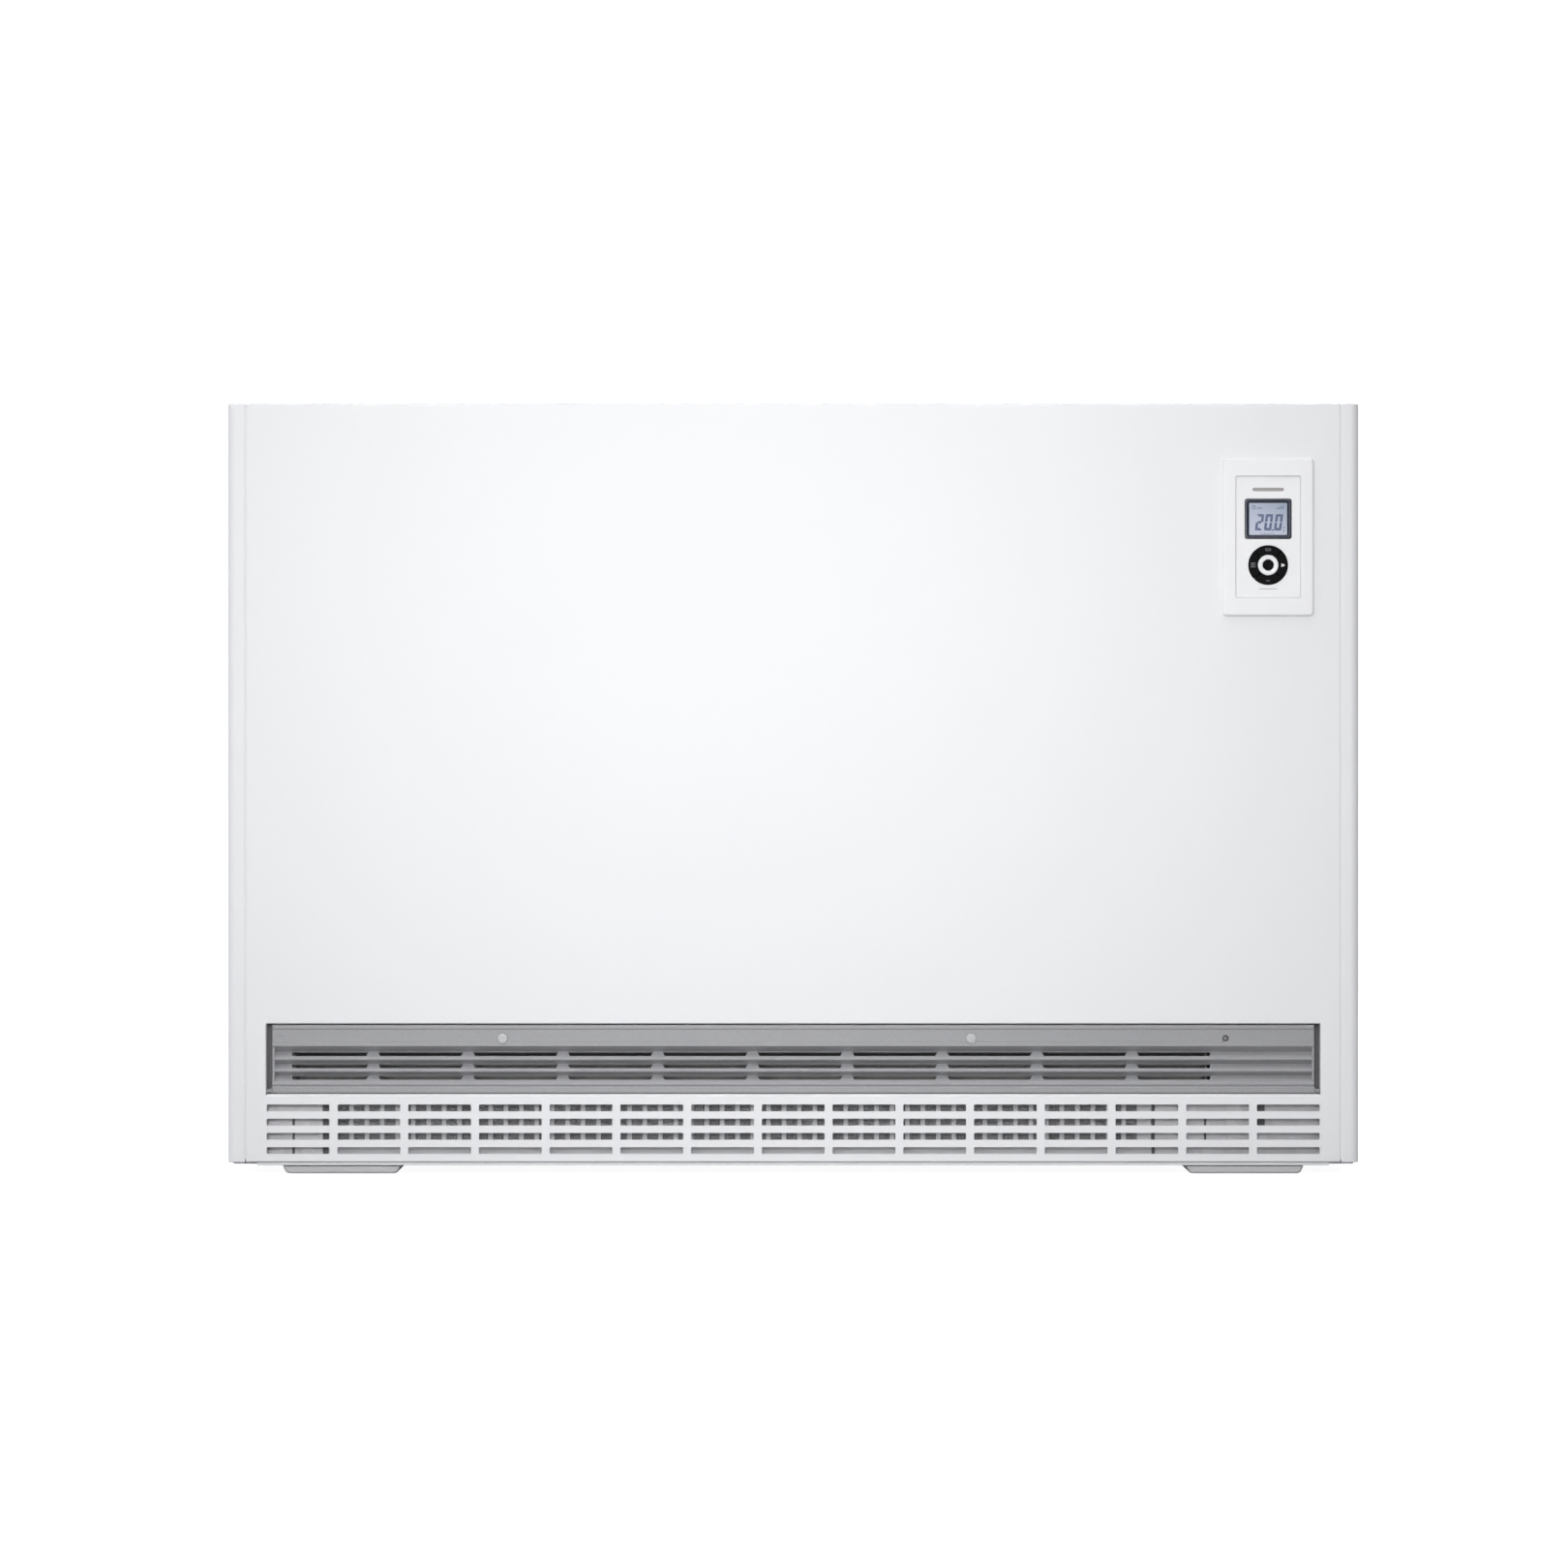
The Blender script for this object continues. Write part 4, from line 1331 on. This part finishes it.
# ------------------------------------------------------------------ blower
def impeller(name, node, x0, x1):
    cy, cz = 30.0, 60.0
    s = Sheet()
    blades = 24
    for k in range(blades):
        at0 = 2 * math.pi * k / blades
        line = []
        for i in range(7):
            t = i / 6
            rr, aa = 21.5 + 7.3 * t, at0 + 0.10 + 0.20 * math.sin(t * 1.9)
            line.append((cy + rr * math.cos(aa), cz + rr * math.sin(aa)))
        back_ = []
        for i in range(7):
            t = 1 - i / 6
            rr, aa = 21.5 + 7.3 * t, at0 + 0.10 + 0.20 * math.sin(t * 1.9) + 0.026
            back_.append((cy + rr * math.cos(aa), cz + rr * math.sin(aa)))
        s.merge(plate("x", [line + back_], x0 + 1, x1 - 1))
    make(name, s, "rotor", "aluminium", replaces=node, bevel=0)
    for k, a in enumerate((x0, x0 + (x1 - x0) / 3, x0 + 2 * (x1 - x0) / 3, x1 - 1.6)):
        solid_disc = k in (0, 3)
        hole = circle(cy, cz, 4.35, 20) if solid_disc else circle(cy, cz, 20.6, 48)
        disc = plate("x", [circle(cy, cz, 29.5, 64), hole], a, a + 1.6)
        make(f"{name}_ring_{k + 1}", disc, "rotor", "aluminium", bevel=0.3)
    hub = lathe([(4.35, -0.2), (8.5, -0.2), (8.5, 6.0), (8.0, 6.5), (4.35, 6.5)], 28, bore=True)
    make(name + "_hub", aimed(hub, "+x", x0 + 1.6, cy, cz), "rotor", "aluminium", bevel=0)


impeller("left_impeller", "fan_rotor_left", -408, -78)
impeller("right_impeller", "fan_rotor_right", 6, 336)
shaft = lathe([(0, -423.5), (3.4, -423.5), (4.0, -422.9), (4.0, 351.4), (3.4, 352), (0, 352)], 24)
make("blower_shaft", aimed(shaft, "+x", 0, 30, 60), "rotor", "steel", replaces="fan_shaft", bevel=0)

dress("fan_motor", LAMINATIONS, 0.5)
winding = plate("x", [rrect(56.5, 60, 8.5, 30, 3, 5)], -54.5, -17.5)
make("motor_winding", winding, "carcass", "bimetal", COPPER, bevel=1.0, segments=4)

# bimetal coil: smooth spiral strip
def spiral():
    cy, cz = -50.3, 115.0
    n, turns = 110, 2.75
    line = []
    for i in range(n + 1):
        t = i / n
        a, r = t * turns * 2 * math.pi, 3.9 + 8.6 * t
        line.append((cy + r * math.cos(a), cz + r * math.sin(a)))
    tail = fillet([line[-1], (cy - 1.5, cz - 13.2), (cy - 1.5, 90), (cy + 10, 90)], [0, 1.0, 1.5, 0], 4)
    line += tail[1:]
    make("bimetal_strip", extrude_line(line, "x", -434, -427), "carcass", "bimetal", replaces="bimetal_coil", out=None, thick=0.8, bevel=0.12, angle=60)


spiral()

# damper: flap with a rolled lower edge on its spindle
dy = -50.3
s = Sheet().merge(extrude_line(fillet([(dy + 1.6, 81.9), (dy - 2.3, 82.6), (dy - 2.3, 115.0)], [0, 1.2, 0], 5), "x", -418, 345.4))
make("damper_blade", s, "damper", "zinc_sheet", HEATED, replaces="damper_flap", out=(0, -1, 0), thick=1.0, bevel=0.2, angle=60)
rod_ = lathe([(0, -438), (2.2, -438), (2.5, -437.6), (2.5, 351.6), (2.2, 352), (0, 352)], 24)
make("damper_spindle", aimed(rod_, "+x", 0, dy, 115), "damper", "steel", bevel=0)

# cable grommet
profile = [(10, -5.2), (14.2, -5.2), (18.0, -4.9), (18.4, -4.3), (18.0, -1.9), (14.8, -1.5), (14.8, 0.25), (18.0, 0.45), (18.4, 1.2), (17.4, 2.6), (13.6, 3.7), (10.8, 4.0), (10, 3.4)]
make("cable_bush", aimed(lathe(profile, 40, bore=True), "+y", 410, 110.5, 120), "carcass", "black_rubber", replaces="cable_grommet", bevel=0)

for k in range(4):
    a0 = k * 90 * DEG
    flap = [(410 + 0.15 * math.cos(a0 + 45 * DEG) * 1.5, 120 + 0.15 * math.sin(a0 + 45 * DEG) * 1.5)]
    flap += [(410 + 10.4 * math.cos(a0 + q * DEG), 120 + 10.4 * math.sin(a0 + q * DEG)) for q in range(1, 90, 8)]
    make(f"cable_bush_flap_{k + 1}", plate("y", [flap], 110.3, 111.1), "carcass", "black_rubber", bevel=0)

# ------------------------------------------------------------------ wiring compartment
def on_x(name, y, z, w, h, r, a, b, slot, material=None, bevel=0.4):
    return make(name, plate("x", [rrect(y, z, w, h, r, 4)], a, b), "carcass", slot, material, bevel=bevel)


board = plate("x", [rrect(5, 555, 122, 102, 2, 4)] + [circle(y, z, 1.7, 16) for y in (-50, 60) for z in (510, 600)], 356, 358)
make("charge_board", board, "carcass", "circuit_board", BOARD_X, replaces="charge_controller", bevel=0.2)
for k, (y, z) in enumerate(((-50, 510), (-50, 600), (60, 510), (60, 600))):
    make(f"charge_board_post_{k + 1}", aimed(lathe([(0, 0), (3, 0), (3, 2.2), (0, 2.2)], 6), "+x", 353.8, y, z), "carcass", "steel", bevel=0.2)
for k, y in enumerate((-28, 2, 32)):
    on_x(f"charge_relay_{k + 1}", y, 577, 24, 34, 1.0, 358, 374, "black_plastic", bevel=0.6)
on_x("charge_terminals", 5, 516, 106, 12, 0.6, 358, 365, "beige_thermoset")
for k in range(12):
    screw(f"charge_terminal_screw_{k + 1}", 364.9, -43 + k * 8.8, 516, "+x", "carcass", 1.5)
on_x("charge_chip", -5, 539, 30, 18, 0.6, 358, 360.5, "black_plastic", bevel=0.3)
pins = Sheet()
for i in range(14):
    for dz in (-9.0, 9.0):
        pins.merge(box(358.0, 358.5, -18.4 + i * 2.0, -17.6 + i * 2.0, 539 + dz - 1.2, 539 + dz + 1.2))
make("charge_chip_pins", pins, "carcass", "steel", bevel=0)
cap = lathe([(0, 0), (5.7, 0), (6.0, 0.4), (6.0, 15.6), (5.5, 16.4), (5.5, 17.6), (0, 17.8)], 32)
make("charge_capacitor", aimed(cap, "+x", 358, 40, 540), "carcass", "aluminium", bevel=0)

s = plate("x", [rrect(6, 163, 88, 34, 1.5, 4)], 353.9, 368)
make("terminal_base", s, "carcass", "beige_thermoset", replaces="terminal_block", bevel=0.5, segments=3)
for k in range(5):
    y = -26 + k * 16
    on_x(f"terminal_cell_{k + 1}", y, 163, 12, 26, 1.0, 368, 384, "beige_thermoset", bevel=0.5)
    screw(f"terminal_screw_{k + 1}", 383.6, y, 163, "+x", "carcass", 3.4)

s = plate("x", [rrect(70, 425, 36, 36, 2.5, 5), circle(70, 425, 4.4, 32)], 353.9, 372)
make("cutout_body", s, "carcass", "beige_thermoset", replaces="thermal_cutout", bevel=0.7, segments=3)
make("cutout_collar", aimed(lathe([(4.4, 0), (9, 0), (9, 4.6), (8.3, 5.8), (5.0, 5.9), (4.4, 5.4)], 40, bore=True), "+x", 372, 70, 425), "carcass", "beige_thermoset", bevel=0)
for k, z in enumerate((403.5, 446.5)):
    on_x(f"cutout_tab_{k + 1}", 70, z, 7.4, 8, 1.2, 361.8, 362.8, "steel", bevel=0.2)
button = lathe([(0, 0), (4.0, 0), (4.0, 9.2), (3.7, 9.7), (2.9, 9.9), (0, 9.6)], 32)
make("reset_cap", aimed(button, "+x", 371, 70, 425), "reset", "red_plastic", replaces="reset_button", bevel=0)

# ------------------------------------------------------------------ carried-over CAD nodes
for n, material in (("base_frame", FRAME_SHEET), ("partition_wall", MATERIAL["zinc_sheet"]), ("inner_front_cover", MATERIAL["zinc_sheet"]),
                    ("fan_tray", HEATED), ("outlet_duct", HEATED)):
    dress(n, material, 0.25)
for n in sorted(NODES):
    if "insulation" in n:
        dress(n, MATERIAL["vermiculite_board"] if "base_insulation" in n else MATERIAL["insulation_board"], 1.2, 3)
    elif n.startswith("storage_brick"):
        dress(n, MATERIAL["storage_brick"], 0.8, 2)

# screws that hold the inner cover
for k, (x, z) in enumerate([(x, z) for x in (-440, -260, -120, 20, 160, 340) for z in (145, 626)]):
    screw(f"cover_screw_{k + 1}", x, -106.1, z, "-y", "carcass", 3.2)


# ------------------------------------------------------------------ stage, light and camera
def stage_material():
    """Pale floor: nearly white where the camera sees it, a softer bounce on the object."""
    g = Graph("studio_floor")
    grain = g.noise(30.0, 3.0)
    tone = g.mix(grain, (0.26, 0.26, 0.262), (0.28, 0.28, 0.282))
    g.set(Base_Color=tone, Roughness=0.9, Specular_IOR_Level=0.0, Emission_Color=(1.0, 1.0, 1.0), Emission_Strength=0.955)
    bounce = g.node("ShaderNodeBsdfDiffuse")
    g.put(bounce.inputs["Color"], g.mix(grain, (0.56, 0.56, 0.565), (0.59, 0.59, 0.595)))
    ray = g.node("ShaderNodeLightPath").outputs["Is Camera Ray"]
    pick_ = g.node("ShaderNodeMixShader")
    g.put(pick_.inputs[0], ray)
    g.put(pick_.inputs[1], bounce.outputs[0])
    g.put(pick_.inputs[2], g.bsdf.outputs[0])
    g.put(g.out.inputs[0], pick_.outputs[0])
    return g.mat


bm = bmesh.new()
rings, seg = [], 48
for r in (0.0, 0.8, 2.0, 5.0, 12.0, 40.0, 120.0):
    rings.append([bm.verts.new((max(r, 1e-3) * math.cos(2 * math.pi * i / seg), max(r, 1e-3) * math.sin(2 * math.pi * i / seg), -0.0004)) for i in range(seg)])
for a, b in zip(rings, rings[1:]):
    for i in range(seg):
        bm.faces.new((a[i], a[(i + 1) % seg], b[(i + 1) % seg], b[i]))
bm.faces.new(rings[0])
bmesh.ops.recalc_face_normals(bm, faces=bm.faces)
mesh = bpy.data.meshes.new("studio_floor")
bm.to_mesh(mesh)
bm.free()
for p in mesh.polygons:
    p.use_smooth = True
if mesh.polygons[0].normal.z < 0:
    mesh.flip_normals()
mesh.materials.append(stage_material())
floor = bpy.data.objects.new("studio_floor", mesh)
bpy.context.scene.collection.objects.link(floor)

world = bpy.data.worlds.new("studio")
bpy.context.scene.world = world
world.use_nodes = True
nt = world.node_tree
nt.nodes.clear()
wout = nt.nodes.new("ShaderNodeOutputWorld")
path = nt.nodes.new("ShaderNodeLightPath")
seen, fill = nt.nodes.new("ShaderNodeBackground"), nt.nodes.new("ShaderNodeBackground")
seen.inputs[0].default_value, seen.inputs[1].default_value = (1, 1, 1, 1), 1.05
coord = nt.nodes.new("ShaderNodeTexCoord")
sep = nt.nodes.new("ShaderNodeSeparateXYZ")
nt.links.new(coord.outputs["Generated"], sep.inputs[0])
# the fill is a little stronger on the left and in front, as from large diffusers there
grad = nt.nodes.new("ShaderNodeMapRange")
nt.links.new(sep.outputs[0], grad.inputs[0])
for i, v in ((1, -1.0), (2, 1.0), (3, 0.86), (4, 0.20)):
    grad.inputs[i].default_value = v
fill.inputs[0].default_value = (0.985, 0.992, 1.0, 1)
nt.links.new(grad.outputs[0], fill.inputs[1])
pick = nt.nodes.new("ShaderNodeMixShader")
nt.links.new(path.outputs["Is Camera Ray"], pick.inputs[0])
nt.links.new(fill.outputs[0], pick.inputs[1])
nt.links.new(seen.outputs[0], pick.inputs[2])
nt.links.new(pick.outputs[0], wout.inputs[0])


def area(name, at, aim, size, energy, tone=(1, 1, 1), spread=180):
    data = bpy.data.lights.new(name, "AREA")
    data.shape, data.size, data.size_y = "RECTANGLE", size[0], size[1]
    data.energy, data.color, data.spread = energy, tone, spread * DEG
    o = bpy.data.objects.new(name, data)
    o.location = at
    o.rotation_euler = (Vector(aim) - Vector(at)).to_track_quat("-Z", "Y").to_euler()
    bpy.context.scene.collection.objects.link(o)
    return o


area("key_light", (-0.21, -2.5, 0.85), (-0.05, -0.12, 0.43), (1.10, 0.9), 2.72, (1.0, 0.998, 0.992), 45.5)
area("top_light", (-0.3, -0.9, 2.6), (0, -0.1, 0.3), (2.2, 1.2), 14)
area("back_light", (0.9, 3.2, 1.8), (0, 0, 0.3), (2.4, 1.8), 70)

scene = bpy.context.scene
scene.view_settings.view_transform = "Standard"
scene.view_settings.look = "None"
scene.view_settings.exposure = 0.0
scene.view_settings.gamma = 1.0
cam_data = bpy.data.cameras.new("camera")
cam_data.sensor_width = 36.0
cam_data.lens = 36.0 * 5.0 / 1.3235
cam_data.clip_end = 300.0
cam = bpy.data.objects.new("camera", cam_data)
cam.location = (-0.0078, YF * MM - 5.0, 0.3290)
cam.rotation_euler = (math.pi / 2, 0, 0)
scene.collection.objects.link(cam)
scene.camera = cam
